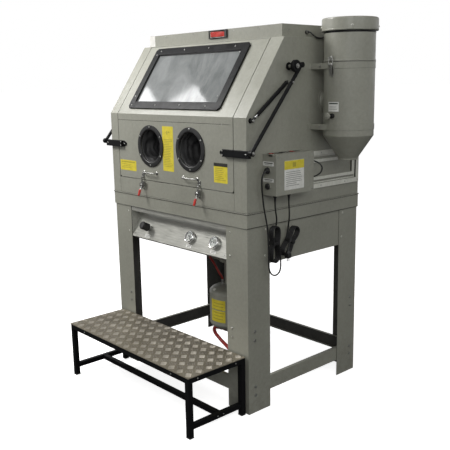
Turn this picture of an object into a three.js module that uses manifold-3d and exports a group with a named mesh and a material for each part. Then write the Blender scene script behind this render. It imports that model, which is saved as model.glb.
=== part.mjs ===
// A floor-standing pressure blast cabinet with a dust collector, a pressure vessel and an operator's step.
// Millimetres. +X is to the operator's right, +Y is to the back, +Z is up, and the floor is Z = 0.
// Inside the "machine" group X = 0 is the middle of the cabinet and Y = 0 is its front face.
import * as THREE from 'three';
import { mergeVertices } from 'three/addons/utils/BufferGeometryUtils.js';
import Module from 'manifold-3d';

const wasm = await Module();
wasm.setup();

// ---------------------------------------------------------------- driving dimensions
const HALF = 600;              // half the cabinet's width
const DEPTH = 910;             // cabinet depth
const STAND_TOP = 1020;        // underside of the hopper's rim
const LIP = 1100;              // top of the hopper's rim
const KNEE = 1580;             // where the front face turns into the slope
const TOP = 1975;              // top of the side panels
const SLOPE_RUN = 275;         // how far back the slope ends
const SHEET = 3;               // sheet thickness
const GAP = 0.3;               // gap between touching pieces

const LEG_INSET = 5;           // legs stand inside the rim's outline
const LEG_FLANGE = 163;        // width of each leg flange
const SKIRT_BOTTOM = 812;
const RAIL = { low: 98, high: 178 };

const DOOR = { x: -9, half: 512, bottom: 1197, seam: 1542, slope: 476, lip: 22 };
const WINDOW = { x: -24, half: 362, low: 81, high: 408, band: 47, proud: 10 };
const ARM_HOLE = { x: -17, spread: 180, z: 1398, radius: 97, ring: 121, proud: 7, reach: 430 };
const BRACKET = { x: -17, tip: 436, end: 634, low: 1381, high: 1418, proud: 20 };

// The door hangs on two arms. These points are (y, z) in the side view.
const ARM_X = 650;
const ARM_RADIUS = 9.5;
const ARM_PIVOT = [305, 1827];
const ARM_TOP = [348, 1833];
const DOOR_PIVOT = [-14, 1409];
const STRUT_X = 614;
const STRUT_FOOT = [28, 1564];
const STRUT_HEAD = [277, 1746];

const LIGHT = { half: 565, front: 295, back: 690, top: 2041, switchX: 78 };
const BOX = { x0: HALF + GAP, x1: 694, y0: 114, y1: 400, z0: 1185, z1: 1394 };
const COLLECTOR = { x: 755, y: 606, radius: 133, foot: 1346, cone: 1466, seam: 1846, top: 2065 };
const CAP = { radius: 146, bottom: 1990 };
const POT = { x: -12, y: 455, radius: 145, bottom: 233, top: 515 };
const POT_FITTING = [-58, -30];  // where the air hose enters, seen from the vessel's axis
const HOPPER_MOUTH = { half: 72, z: 690 };
const FUNNEL_TOP = 1078;       // where the funnel's walls meet the rim
const PANEL = { half: 431, front: 8, soffit: 992, topY: 67, topZ: 953, lowY: 6, lowZ: 834 };
const GAUGES = { xs: [107, 315], up: 70 };
const REGULATOR = { x: -285, up: 66 };
const BENCH = { x: 12, half: 564, front: -392, back: -4, top: 330, tube: 28, plate: 5, stretcher: 46 };
const CLAMP = { xs: [-280, 232], z: 1168 };
const CORD = 8;                // diameter of the two electric cords

// ---------------------------------------------------------------- materials
function finish(color, roughness, metalness) {
  return new THREE.MeshStandardMaterial({ color, roughness, metalness });
}
const powderCoat = finish('#a5a198', 0.5, 0.1);
const blackPaint = finish('#17181a', 0.4, 0.2);
const darkSteel = finish('#2a2b2c', 0.5, 0.4);
const brightSteel = finish('#c4c5c6', 0.25, 1);
const treadAluminium = finish('#b7b09e', 0.35, 0.9);
const blackRubber = finish('#1b1b1c', 0.8, 0);
const redRubber = finish('#a3231c', 0.6, 0);
const redPlastic = finish('#c22a1c', 0.4, 0);
const blackPlastic = finish('#141414', 0.5, 0);
const filterPaper = finish('#d8d2bd', 0.9, 0);
const clearGlass = new THREE.MeshStandardMaterial({
  color: '#b4bbc0', roughness: 0.1, metalness: 0, transparent: true, opacity: 0.35,
});

// ---------------------------------------------------------------- shape helpers
function box(x0, x1, y0, y1, z0, z1) {
  const geometry = new THREE.BoxGeometry(x1 - x0, y1 - y0, z1 - z0);
  return geometry.translate((x0 + x1) / 2, (y0 + y1) / 2, (z0 + z1) / 2);
}

function outline(points) {
  return new THREE.Shape(points.map(([u, v]) => new THREE.Vector2(u, v)));
}

function extrude(shape, depth) {
  return new THREE.ExtrudeGeometry(shape, { depth, bevelEnabled: false, curveSegments: 6 });
}

// A (y, z) outline drawn out from x0 to x1.
function alongX(shape, x0, x1) {
  const turn = new THREE.Matrix4().makeBasis(
    new THREE.Vector3(0, 1, 0), new THREE.Vector3(0, 0, 1), new THREE.Vector3(1, 0, 0));
  return extrude(shape, x1 - x0).applyMatrix4(turn).translate(x0, 0, 0);
}

// An (x, z) outline drawn out from y0 to y1.
function alongY(shape, y0, y1) {
  const turn = new THREE.Matrix4().makeBasis(
    new THREE.Vector3(1, 0, 0), new THREE.Vector3(0, 0, 1), new THREE.Vector3(0, -1, 0));
  return extrude(shape, y1 - y0).applyMatrix4(turn).translate(0, y1, 0);
}

// An (x, y) outline drawn out from z0 to z1.
function alongZ(shape, z0, z1) {
  return extrude(shape, z1 - z0).translate(0, 0, z0);
}

// A round bar between two points.
function bar(from, to, radius, sides = 16) {
  const a = new THREE.Vector3(...from);
  const b = new THREE.Vector3(...to);
  const geometry = new THREE.CylinderGeometry(radius, radius, a.distanceTo(b), sides);
  const turn = new THREE.Quaternion().setFromUnitVectors(
    new THREE.Vector3(0, 1, 0), b.clone().sub(a).normalize());
  return geometry.applyQuaternion(turn).translate(...a.add(b).multiplyScalar(0.5).toArray());
}

// A closed (radius, height) profile turned about the Z axis.
function turned(profile, sides) {
  const points = profile.map(([radius, height]) => new THREE.Vector2(radius, height));
  return new THREE.LatheGeometry(points, sides).rotateX(Math.PI / 2);
}

// A flexible tube through hand-placed points.
function hose(points, radius, sides, steps) {
  const path = new THREE.CatmullRomCurve3(points.map((point) => new THREE.Vector3(...point)));
  const step = 2 * Math.PI / sides;
  const corner = (i) => [radius * Math.cos(i * step), radius * Math.sin(i * step)];
  const section = outline(Array.from({ length: sides }, (_, i) => corner(i)));
  return new THREE.ExtrudeGeometry(section, { steps, bevelEnabled: false, extrudePath: path });
}

// A block whose top and bottom rectangles differ: each is [x0, x1, y0, y1].
function frustum(low, high, z0, z1) {
  const geometry = new THREE.BoxGeometry(1, 1, 1);
  const place = geometry.attributes.position;
  for (let i = 0; i < place.count; i += 1) {
    const [x0, x1, y0, y1] = place.getZ(i) < 0 ? low : high;
    const x = place.getX(i) < 0 ? x0 : x1;
    const y = place.getY(i) < 0 ? y0 : y1;
    place.setXYZ(i, x, y, place.getZ(i) < 0 ? z0 : z1);
  }
  return geometry;
}

// ---------------------------------------------------------------- joining and cutting
function solid(geometry) {
  const bare = geometry.clone();
  bare.deleteAttribute('normal');
  bare.deleteAttribute('uv');
  const merged = mergeVertices(bare, 1e-3);
  const corners = merged.index.array;
  const kept = [];
  for (let i = 0; i < corners.length; i += 3) {
    const [a, b, c] = [corners[i], corners[i + 1], corners[i + 2]];
    if (a !== b && b !== c && c !== a) kept.push(a, b, c);
  }
  return new wasm.Manifold(new wasm.Mesh({
    numProp: 3,
    vertProperties: new Float32Array(merged.attributes.position.array),
    triVerts: new Uint32Array(kept),
  }));
}

function surface(manifold) {
  const mesh = manifold.getMesh();
  const geometry = new THREE.BufferGeometry();
  geometry.setAttribute('position', new THREE.BufferAttribute(new Float32Array(mesh.vertProperties), 3));
  geometry.setIndex(new THREE.BufferAttribute(new Uint32Array(mesh.triVerts), 1));
  return geometry;
}

function join(...geometries) {
  return surface(geometries.map(solid).reduce((whole, piece) => whole.add(piece)));
}

function cut(body, ...tools) {
  return surface(tools.map(solid).reduce((rest, tool) => rest.subtract(tool), solid(body)));
}

// ---------------------------------------------------------------- the machine and its mirror pairs
const machine = new THREE.Group();
const cords = new THREE.Group();

function add(name, geometry, material, group = machine) {
  const mesh = new THREE.Mesh(geometry, material);
  mesh.name = name;
  group.add(mesh);
  return mesh;
}

const SIDES = [['left', -1], ['right', 1]];

// Mirrors a geometry about the cabinet's middle plane and keeps its faces outward.
function sided(geometry, side) {
  if (side > 0) return geometry;
  const flipped = geometry.clone().scale(-1, 1, 1);
  const whole = flipped.index ? flipped.toNonIndexed() : flipped;
  const place = whole.attributes.position;
  const corner = new THREE.Vector3();
  const other = new THREE.Vector3();
  for (let i = 0; i < place.count; i += 3) {
    corner.fromBufferAttribute(place, i + 1);
    other.fromBufferAttribute(place, i + 2);
    place.setXYZ(i + 1, ...other.toArray());
    place.setXYZ(i + 2, ...corner.toArray());
  }
  return surface(solid(whole));
}

// The slope's own frame: X across, Y up the slope from the knee, Z out of it.
const slopeAngle = Math.atan2(TOP - KNEE, SLOPE_RUN);
const slopeLength = Math.hypot(TOP - KNEE, SLOPE_RUN);
const slope = new THREE.Matrix4().makeTranslation(0, 0, KNEE)
  .multiply(new THREE.Matrix4().makeRotationX(slopeAngle));

function onSlope(geometry) {
  return geometry.applyMatrix4(slope);
}

// ---------------------------------------------------------------- hopper, panels and grate
function makeHopper() {
  const inner = HALF - SHEET;
  const rim = cut(box(-HALF, HALF, 0, DEPTH, STAND_TOP, LIP),
    box(-inner, inner, SHEET, DEPTH - SHEET, STAND_TOP - 1, LIP + 1));
  const lip = cut(box(-HALF - 4, HALF + 4, -4, DEPTH + 4, LIP - 5, LIP),
    box(-inner, inner, SHEET, DEPTH - SHEET, LIP - 6, LIP + 1));
  const ledge = cut(box(-HALF, HALF, 0, DEPTH, STAND_TOP, STAND_TOP + SHEET),
    box(-HALF + 16, HALF - 16, 16, DEPTH - 16, STAND_TOP - 1, STAND_TOP + SHEET + 1));
  const mouth = HOPPER_MOUTH.half;
  const mouthRect = [-mouth, mouth, DEPTH / 2 - mouth, DEPTH / 2 + mouth];
  const topRect = [-HALF + 1, HALF - 1, 1, DEPTH - 1];
  const shrink = (rect, by) => [rect[0] + by, rect[1] - by, rect[2] + by, rect[3] - by];
  const funnel = cut(frustum(mouthRect, topRect, HOPPER_MOUTH.z, FUNNEL_TOP),
    frustum(shrink(mouthRect, SHEET), shrink(topRect, SHEET), HOPPER_MOUTH.z - 0.1, FUNNEL_TOP + 0.1));
  const hosePort = bar([520, 86, FUNNEL_TOP - 74], [520, 86, FUNNEL_TOP - 40], 16, 12);
  const flange = cut(box(-100, 100, DEPTH / 2 - 100, DEPTH / 2 + 100, HOPPER_MOUTH.z - 5, HOPPER_MOUTH.z + 1),
    box(-60, 60, DEPTH / 2 - 60, DEPTH / 2 + 60, HOPPER_MOUTH.z - 6, HOPPER_MOUTH.z + 2));
  return join(rim, lip, ledge, funnel, flange, hosePort);
}

// A side wall with its front edge bent round into the door's jamb.
function makeSidePanel(side) {
  const base = LIP + GAP;
  const wall = alongX(outline([[0, base], [0, KNEE], [SLOPE_RUN, TOP], [DEPTH - SHEET - GAP, TOP],
    [DEPTH - SHEET - GAP, base]]), HALF - SHEET, HALF);
  const jambEdge = side * DOOR.x + DOOR.half + 4;
  const frontJamb = box(jambEdge, HALF - 1, 0, SHEET, base, KNEE);
  const slopeJamb = onSlope(box(jambEdge, HALF - 1, 0, slopeLength, -SHEET, 0));
  const pivotPin = bar([HALF - 1, ...ARM_PIVOT], [ARM_X + 14, ...ARM_PIVOT], 8, 12);
  const strutStud = bar([HALF - 1, ...STRUT_FOOT], [STRUT_X + 10, ...STRUT_FOOT], 5, 10);
  const panel = join(wall, frontJamb, slopeJamb, pivotPin, strutStud);
  return side > 0 ? withPortFrame(panel) : sided(panel, side);
}

// The raised moulding of the clean-out port, and the hole of the collector's inlet duct.
function withPortFrame(panel) {
  const frame = (inset, height) => box(HALF - 1, HALF + height, 430 + inset, 898 - inset,
    1172 + inset, 1380 - inset);
  const ring = (inset, width, height) => cut(frame(inset, height),
    frame(inset + width, height + 1).translate(-0.5, 0, 0));
  const duct = bar([HALF - 10, COLLECTOR.y, 1650], [HALF + 10, COLLECTOR.y, 1650], 47, 20);
  return cut(join(panel, ring(0, 28, 9), ring(46, 20, 9)), duct);
}

// One sheet makes the back and the roof, with the lamp's aperture in the roof.
function makeRearAndRoof() {
  const inside = HALF - SHEET - GAP;
  const bent = alongX(outline([[SLOPE_RUN + 5, TOP - SHEET], [SLOPE_RUN + 5, TOP], [DEPTH, TOP],
    [DEPTH, LIP + GAP], [DEPTH - SHEET, LIP + GAP], [DEPTH - SHEET, TOP - SHEET]]), -inside, inside);
  return cut(bent, box(-480, 480, 330, 560, TOP - 10, TOP + 10));
}

// The fixed strip below the door, with the two clamps' base blocks.
function makeLowerFrontPanel() {
  const left = DOOR.x - DOOR.half - 3;
  const right = DOOR.x + DOOR.half + 3;
  const strip = box(left, right, 0, SHEET, LIP + GAP, DOOR.bottom - 4);
  const shelf = box(left, right, 0, 26, DOOR.bottom - 6, DOOR.bottom - 4);
  const blocks = CLAMP.xs.map((x) => box(x - 12, x + 12, -8, 1, CLAMP.z - 22, CLAMP.z + 18));
  return join(strip, shelf, ...blocks);
}

// A flat plate with two columns of long slots.
function makeGrate() {
  const [x, y0, y1, rows] = [HALF - 8, 8, DEPTH - 8, 11];
  const pitch = (y1 - y0 - 40) / rows;
  const slots = Array.from({ length: rows }, (_, i) => y0 + 20 + i * pitch).flatMap((y) => [
    box(-x + 20, -10, y + 10, y + pitch - 10, FUNNEL_TOP, LIP),
    box(10, x - 20, y + 10, y + pitch - 10, FUNNEL_TOP, LIP),
  ]);
  return cut(box(-x, x, y0, y1, FUNNEL_TOP + GAP, LIP - 12), ...slots);
}

add('hopper', makeHopper(), powderCoat);
for (const [name, side] of SIDES) add(`side_panel_${name}`, makeSidePanel(side), powderCoat);
add('rear_roof_panel', makeRearAndRoof(), powderCoat);
add('lower_front_panel', makeLowerFrontPanel(), powderCoat);
add('work_grate', makeGrate(), darkSteel);

// ---------------------------------------------------------------- light box on the roof
function makeLightBox() {
  const { half, front, back, top, switchX } = LIGHT;
  const shell = cut(box(-half, half, front, back, TOP + GAP, top),
    box(-half + 2, half - 2, front + 2, back - 2, TOP - 1, top - 2));
  const bezel = box(switchX - 75, switchX + 75, front - 5, front + 1, 1999, 2035);
  const opening = box(switchX - 58, switchX + 58, front - 8, front + 8, 2001.5, 2032.5);
  const gland = bar([half - 1, 481, 2003], [half + 14, 481, 2003], 9, 10);
  return cut(join(shell, bezel, gland), opening);
}

function makeLampTube() {
  const [y, z] = [445, TOP + 32];
  const glass = bar([-440, y, z], [440, y, z], 13, 12);
  const holders = [-1, 1].map((side) => box(side > 0 ? 436 : -452, side > 0 ? 452 : -436,
    y - 14, y + 14, z - 16, LIGHT.top - 2 - GAP));
  return join(glass, ...holders);
}

// A rocker cap: a shallow wedge that stands proud at one end. Drawn for its seat at the origin.
function rockerCap(length, width, tilt) {
  const half = length / 2;
  const rise = half * Math.sin(tilt);
  const cap = outline([[-half, -5], [-half, rise], [0, 1], [half, -rise], [half, -5 - rise], [0, -9]]);
  return extrude(cap, width).translate(0, 0, -width / 2);
}

add('light_box', makeLightBox(), powderCoat);
add('lamp_tube', makeLampTube(), clearGlass);
const lightRocker = add('light_rocker', rockerCap(108, 28, 0.14), redPlastic);
lightRocker.geometry.applyMatrix4(new THREE.Matrix4().makeBasis(
  new THREE.Vector3(1, 0, 0), new THREE.Vector3(0, -1, 0), new THREE.Vector3(0, 0, -1)));
lightRocker.position.set(LIGHT.switchX, LIGHT.front - 4, 2017);

// ---------------------------------------------------------------- stand
function makeLeg(side, front) {
  const outer = HALF - LEG_INSET;
  const y0 = LEG_INSET;
  const angle = outline([[outer, y0], [outer, y0 + LEG_FLANGE], [outer - SHEET, y0 + LEG_FLANGE],
    [outer - SHEET, y0 + SHEET], [outer - LEG_FLANGE, y0 + SHEET], [outer - LEG_FLANGE, y0]]);
  const leg = sided(surface(solid(alongZ(angle, 0, STAND_TOP - GAP))), side);
  if (front) return leg;
  return leg.rotateZ(Math.PI).translate(0, DEPTH, 0);
}

function makeSkirt() {
  const x = HALF - LEG_INSET - SHEET - GAP;
  const y = DEPTH - LEG_INSET - SHEET - GAP;
  const outer = outline([[-x, 60], [-x, y], [x, y], [x, 60], [x - SHEET, 60], [x - SHEET, y - SHEET],
    [-x + SHEET, y - SHEET], [-x + SHEET, 60]]);
  return alongZ(outer, SKIRT_BOTTOM, STAND_TOP - GAP);
}

// A rail is a channel with its back to the outside.
function makeRail(length) {
  const { low, high } = RAIL;
  const channel = outline([[0, low], [0, high], [20, high], [20, high - SHEET], [SHEET, high - SHEET],
    [SHEET, low + SHEET], [20, low + SHEET], [20, low]]);
  return alongX(channel, -length / 2, length / 2);
}

for (const [name, side] of SIDES) {
  add(`leg_front_${name}`, makeLeg(side, true), powderCoat);
  add(`leg_rear_${name}`, makeLeg(-side, false), powderCoat);
}
add('skirt', surface(solid(makeSkirt())), powderCoat);

const railIn = LEG_INSET + SHEET + GAP;
const crossRail = 2 * (HALF - railIn) - 60;
const sideRail = DEPTH - 2 * railIn - 60;
for (const [name, length, turn, x, y] of [
  ['rail_front', crossRail, 0, 0, railIn],
  ['rail_rear', crossRail, Math.PI, 0, DEPTH - railIn],
  ['rail_left', sideRail, -Math.PI / 2, -HALF + railIn, DEPTH / 2],
  ['rail_right', sideRail, Math.PI / 2, HALF - railIn, DEPTH / 2],
]) {
  const rail = add(name, surface(solid(makeRail(length))), powderCoat);
  rail.rotation.z = turn;
  rail.position.set(x, y, 0);
}

// ---------------------------------------------------------------- control panel, gauges and regulator
const panelSlant = Math.atan2(PANEL.topY - PANEL.lowY, PANEL.topZ - PANEL.lowZ);

// The slanted face's own frame, with its origin at the face's lower edge.
function onPanel(geometry, x, up) {
  return geometry.rotateX(Math.PI / 2 - panelSlant).translate(x,
    PANEL.lowY + up * Math.sin(panelSlant), PANEL.lowZ + up * Math.cos(panelSlant));
}

function makeControlPanel() {
  const { half, front, soffit, topY, topZ, lowY, lowZ } = PANEL;
  const top = STAND_TOP - GAP;
  const thick = SHEET;
  const sheet = alongX(outline([[front, top], [front + 10, top], [front + 10, soffit + thick],
    [topY + thick, soffit + thick], [topY + thick, topZ], [lowY + thick + 1, lowZ], [lowY + 16, lowZ - 9],
    [lowY + 13, lowZ - 11], [lowY, lowZ], [topY, topZ + 1], [topY, soffit], [front, soffit]]), -half, half);
  const cheek = outline([[front, soffit + 1], [topY + 1, soffit + 1], [topY + 1, topZ], [lowY + 3, lowZ]]);
  const cheeks = [[-half, -half + 2], [half - 2, half]].map(([x0, x1]) => alongX(cheek, x0, x1));
  return join(surface(solid(sheet)), ...cheeks);
}

function makeGauge(x) {
  const dial = turned([[0, 1], [31, 1], [31, 6], [34, 8], [34, 22], [30, 24], [30, 21], [0, 21]], 24);
  return onPanel(surface(solid(dial)), x, GAUGES.up);
}

function makeRegulatorKnob() {
  const knob = turned([[0, 1], [15, 1], [15, 18], [24, 20], [24, 66], [21, 71], [0, 71]], 20);
  return onPanel(surface(solid(knob)), REGULATOR.x, REGULATOR.up);
}

add('control_panel', makeControlPanel(), powderCoat);
add('pressure_gauge', makeGauge(GAUGES.xs[0]), brightSteel);
add('pot_gauge', makeGauge(GAUGES.xs[1]), brightSteel);
add('regulator_knob', makeRegulatorKnob(), blackPlastic);

// ---------------------------------------------------------------- pressure vessel, hoses and gun
function makePot() {
  const { x, y, radius, bottom, top } = POT;
  const [low, high] = [bottom + 42, top - 42];
  const dome = 70 * Math.PI / 180;
  const arc = (centre, reach, up) => Array.from({ length: 5 }, (_, i) => {
    const angle = dome * i / 4;
    return [reach * Math.cos(angle), centre + up * (42 * Math.sin(angle) / Math.sin(dome))];
  });
  const flange = HOPPER_MOUTH.z - 5 - GAP;
  const outer = [[0, bottom - 15], [30, bottom - 15], [30, bottom + 2],
    ...arc(low, radius, -1).reverse().slice(0, 4), [radius, low], [radius, high],
    ...arc(high, radius, 1).slice(1), [48, top + 1], [48, flange - 21], [78, flange - 21], [78, flange],
    [0, flange]];
  const vessel = turned(outer, 24).translate(x, y, 0);
  return join(vessel, bar([x + POT_FITTING[0], y + POT_FITTING[1], top - 20],
    [x + POT_FITTING[0], y + POT_FITTING[1], top + 8], 12, 12));
}

const blastRoute = [
  [-42, 440, 205], [-90, 418, 212], [-130, 402, 206], [-124, 398, 180], [-66, 392, 148], [20, 372, 128],
  [140, 320, 112], [290, 240, 108], [420, 160, 122], [500, 110, 190], [522, 90, 320], [524, 88, 560],
  [522, 86, 780], [520, 86, FUNNEL_TOP - 74 - GAP],
];

function makeGun() {
  const z = LIP + 22;
  const nozzle = bar([40, 560, z], [40, 470, z], 12, 12);
  const body = bar([40, 700, z], [40, 555, z], 20, 12);
  const tail = bar([40, 760, z], [40, 695, z], 14, 12);
  return join(nozzle, body, tail);
}

const potHoseRoute = [
  [POT.x + POT_FITTING[0], POT.y + POT_FITTING[1], POT.top + 9], [-70.5, 424, 545], [-84, 404, 590],
  [-92, 380, 640], [-80, 338, 690], [-30, 286, 730], [70, 226, 772], [180, 168, 814], [272, 108, 852],
  [312, 66, 878], [320, 46, 884],
];

add('pressure_pot', makePot(), powderCoat);
add('blast_hose', surface(solid(hose(blastRoute, 11, 8, 44))), redRubber);
add('pot_air_hose', surface(solid(hose(potHoseRoute, 7, 8, 28))), redRubber);
add('blast_gun', makeGun(), brightSteel);

// ---------------------------------------------------------------- the operator's step
function makeBenchFrame() {
  const { half, front, back, top, tube, plate, stretcher } = BENCH;
  const under = top - plate - GAP;
  const pieces = [];
  for (const side of [-1, 1]) {
    const [x0, x1] = side > 0 ? [half - tube, half] : [-half, -half + tube];
    pieces.push(box(x0, x1, front, front + tube, 0, under));
    pieces.push(box(x0, x1, back - tube, back, 0, under));
    pieces.push(box(x0, x1, front + 1, back - 1, under - tube, under));
    pieces.push(box(x0 + 2, x1 - 2, front + 1, back - 1, stretcher, stretcher + tube));
  }
  for (const y of [front, back - tube]) {
    pieces.push(box(-half + 1, half - 1, y, y + tube, under - tube, under));
  }
  const middle = (front + back) / 2 + 20;
  pieces.push(box(-half + 3, half - 3, middle - 13, middle + 13, stretcher + 1, stretcher + tube - 1));
  return join(...pieces).translate(BENCH.x, 0, 0);
}

add('bench_frame', makeBenchFrame(), blackPaint);
add('tread_plate', box(BENCH.x - BENCH.half - 4, BENCH.x + BENCH.half + 4, BENCH.front - 3, BENCH.back,
  BENCH.top - BENCH.plate, BENCH.top), treadAluminium);

// ---------------------------------------------------------------- electrical box with three rockers
const ROCKER_YS = [136, 212, 290];
const ROCKER_X = 655;
const SOCKET = { x: 643, z: 1313 };
const OUTLETS = { x: 645, ys: [156, 260] };

function makeElectricalBox() {
  const { x0, x1, y0, y1, z0, z1 } = BOX;
  const shell = cut(box(x0, x1, y0, y1, z0, z1), box(x0 - 1, x1 - 2, y0 + 2, y1 - 2, z0 + 2, z1 - 2));
  const round = (y, halfX, halfY, low, high) => box(ROCKER_X - halfX, ROCKER_X + halfX,
    y - halfY, y + halfY, z1 + low, z1 + high);
  const bezels = ROCKER_YS.map((y) => round(y, 16, 29, -2, 3));
  const seats = ROCKER_YS.map((y) => round(y, 12.5, 26.5, -10, 9));
  const glands = OUTLETS.ys.map((y) => bar([OUTLETS.x, y, z0 - 16], [OUTLETS.x, y, z0 + 1], 9, 12));
  const sockets = [SOCKET.z, SOCKET.z - 80].map((z) => (
    bar([SOCKET.x, y0 + 1, z], [SOCKET.x, y0 - 7, z], 14, 14)));
  return cut(join(shell, ...bezels, ...glands, ...sockets), ...seats);
}

add('electrical_box', makeElectricalBox(), powderCoat);
ROCKER_YS.forEach((y, i) => {
  const rocker = add(`power_rocker_${i + 1}`, rockerCap(48, 22, 0.16), i === 1 ? blackPlastic : redPlastic);
  rocker.geometry.applyMatrix4(new THREE.Matrix4().makeBasis(
    new THREE.Vector3(0, 1, 0), new THREE.Vector3(0, 0, 1), new THREE.Vector3(1, 0, 0)));
  rocker.position.set(ROCKER_X, y, BOX.z1 + 3);
});

// ---------------------------------------------------------------- dust collector
const SHAKER_Z = 1572;
const LATCH = { x: COLLECTOR.x - 7, z: 1831 };

function atCollector(geometry) {
  return geometry.translate(COLLECTOR.x, COLLECTOR.y, 0);
}

function makeDrum() {
  const { x, y, radius, foot, cone, seam } = COLLECTOR;
  const skin = 2;
  const neck = 52;
  const cup = atCollector(surface(solid(turned([
    [0, foot - 10], [neck, foot - 10], [neck, foot], [radius, cone], [radius, seam], [radius - skin, seam],
    [radius - skin, cone + 1], [neck - skin, foot + 1], [neck - skin, foot - 7], [0, foot - 7]], 32))));
  const inlet = bar([HALF + GAP, y, 1650], [x - radius + 12, y, 1650], 52, 20);
  const straps = [1826, 1512].flatMap((z) => [-1, 1].flatMap((end) => {
    const at = y + end * (radius - 5);
    return [box(HALF + GAP, x - 30, Math.min(at, at - end * 3), Math.max(at, at - end * 3), z - 15, z + 15),
      box(HALF + GAP, HALF + 3.3, Math.min(at, at + end * 26), Math.max(at, at + end * 26), z - 15, z + 15)];
  }));
  const latchPlate = box(LATCH.x - 9, LATCH.x + 9, y - radius - 4, y - radius + 1, 1772, 1820);
  const guide = bar([x, y - radius - 14, SHAKER_Z], [x, y - radius + 1, SHAKER_Z], 12, 12);
  const shell = join(cup, inlet, ...straps, latchPlate, guide);
  const bore = bar([x, y - radius - 20, SHAKER_Z], [x, y - radius + 20, SHAKER_Z], 6.2, 12);
  const duct = bar([HALF - 2, y, 1650], [x - radius + 30, y, 1650], 47, 20);
  return cut(shell, bore, duct);
}

function makeHead() {
  const { x, y, radius, seam, top } = COLLECTOR;
  const skin = 2;
  const hood = atCollector(surface(solid(turned([
    [0, top - 3], [radius - skin, top - 3], [radius - skin, seam + GAP], [radius, seam + GAP],
    [radius, top - 3.5], [CAP.radius - skin, top - 3.5], [CAP.radius - skin, CAP.bottom],
    [CAP.radius, CAP.bottom], [CAP.radius, top - 6], [CAP.radius - 6, top], [0, top]], 32))));
  const motor = bar([x, y, top - 80], [x, y, top - 1], 52, 20);
  const shaft = bar([x, y, top - 140], [x, y, top - 79], 6, 10);
  const vents = [0, 1, 2, 3, 4, 5].map((i) => {
    const angle = i * Math.PI / 3 + 0.2;
    const reach = radius - 8;
    const [cx, cy] = [x + reach * Math.cos(angle), y + reach * Math.sin(angle)];
    return bar([cx, cy, top - 35], [cx + 16 * Math.cos(angle), cy + 16 * Math.sin(angle), top - 35], 17, 10);
  });
  return cut(join(hood, motor, shaft), ...vents);
}

function makeBlowerWheel() {
  const { x, y, top } = COLLECTOR;
  const z = top - 132;
  const plate = bar([x, y, z], [x, y, z + 3], 92, 24);
  const hub = bar([x, y, z], [x, y, z + 30], 16, 14);
  const blades = Array.from({ length: 8 }, (_, i) => box(14, 90, -1.5, 1.5, z + 2, z + 34)
    .rotateZ(i * Math.PI / 4).translate(x, y, 0));
  return cut(join(plate, hub, ...blades), bar([x, y, z - 5], [x, y, z + 60], 6.4, 12));
}

function makeCartridge() {
  const pleats = 20;
  const ring = Array.from({ length: 2 * pleats }, (_, i) => {
    const angle = i * Math.PI / pleats;
    const radius = i % 2 ? 70 : 84;
    return [radius * Math.cos(angle), radius * Math.sin(angle)];
  });
  const body = alongZ(outline(ring), 1500, COLLECTOR.seam - 10);
  const collar = bar([0, 0, COLLECTOR.seam - 14], [0, 0, COLLECTOR.seam - 4], 125, 28);
  const bore = bar([0, 0, 1520], [0, 0, COLLECTOR.seam + 5], 60, 20);
  return atCollector(cut(join(body, collar), bore));
}

function makeShaker() {
  const { x, y, radius } = COLLECTOR;
  const face = y - radius - 54;
  const disc = bar([x, face, SHAKER_Z], [x, face + 10, SHAKER_Z], 17, 16);
  const rod = bar([x, face + 8, SHAKER_Z], [x, y - radius + 30, SHAKER_Z], 5, 10);
  return join(disc, rod);
}

function makeLatch() {
  const y = COLLECTOR.y - COLLECTOR.radius - 12;
  const lever = box(LATCH.x - 8, LATCH.x + 8, y - 4, y, LATCH.z - 50, LATCH.z);
  const eye = bar([LATCH.x - 10, y, LATCH.z], [LATCH.x + 10, y, LATCH.z], 6, 12);
  return join(lever, eye);
}

add('collector_drum', makeDrum(), powderCoat);
add('collector_head', makeHead(), powderCoat);
add('blower_wheel', makeBlowerWheel(), darkSteel);
add('filter_cartridge', makeCartridge(), filterPaper);
add('shaker_knob', makeShaker(), powderCoat);
add('collector_latch', makeLatch(), brightSteel);

// ---------------------------------------------------------------- door
function roundedPlate(x0, x1, z0, z1, radius) {
  const shape = new THREE.Shape();
  shape.moveTo(x0, z1);
  shape.lineTo(x0, z0 + radius);
  shape.absarc(x0 + radius, z0 + radius, radius, Math.PI, 1.5 * Math.PI);
  shape.absarc(x1 - radius, z0 + radius, radius, 1.5 * Math.PI, 2 * Math.PI);
  shape.lineTo(x1, z1);
  return shape;
}

function makeDoorUpper() {
  const [x0, x1] = [DOOR.x - DOOR.half, DOOR.x + DOOR.half];
  const face = onSlope(box(x0, x1, 0, DOOR.slope, -SHEET, 0));
  const apron = box(x0, x1, 0, SHEET, DOOR.seam + 1, KNEE);
  const lowEdge = outline([[1, DOOR.seam + 1], [DOOR.lip, DOOR.seam + 1], [DOOR.lip, KNEE + 4],
    [1, KNEE - 1]]);
  const edges = [x0, x1 - 2].flatMap((x) => [onSlope(box(x, x + 2, 2, DOOR.slope, -DOOR.lip, -1)),
    alongX(lowEdge, x, x + 2)]);
  const { x, half, low, high } = WINDOW;
  const opening = box(x - half - 10, x + half + 10, low - 10, high + 10, -60, 30);
  return cut(join(face, apron, ...edges), onSlope(opening));
}

function makeDoorLower() {
  const [x0, x1] = [DOOR.x - DOOR.half, DOOR.x + DOOR.half];
  const shape = roundedPlate(x0, x1, DOOR.bottom, DOOR.seam - 1, 18);
  const hollow = roundedPlate(x0 + 2, x1 - 2, DOOR.bottom + 2, DOOR.seam + 5, 16);
  const tray = cut(alongY(shape, 0, DOOR.lip), alongY(hollow, SHEET, DOOR.lip + 1));
  const holes = SIDES.map(([, side]) => {
    const x = ARM_HOLE.x + side * ARM_HOLE.spread;
    return bar([x, -5, ARM_HOLE.z], [x, 40, ARM_HOLE.z], ARM_HOLE.radius, 32);
  });
  return cut(tray, ...holes);
}

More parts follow.
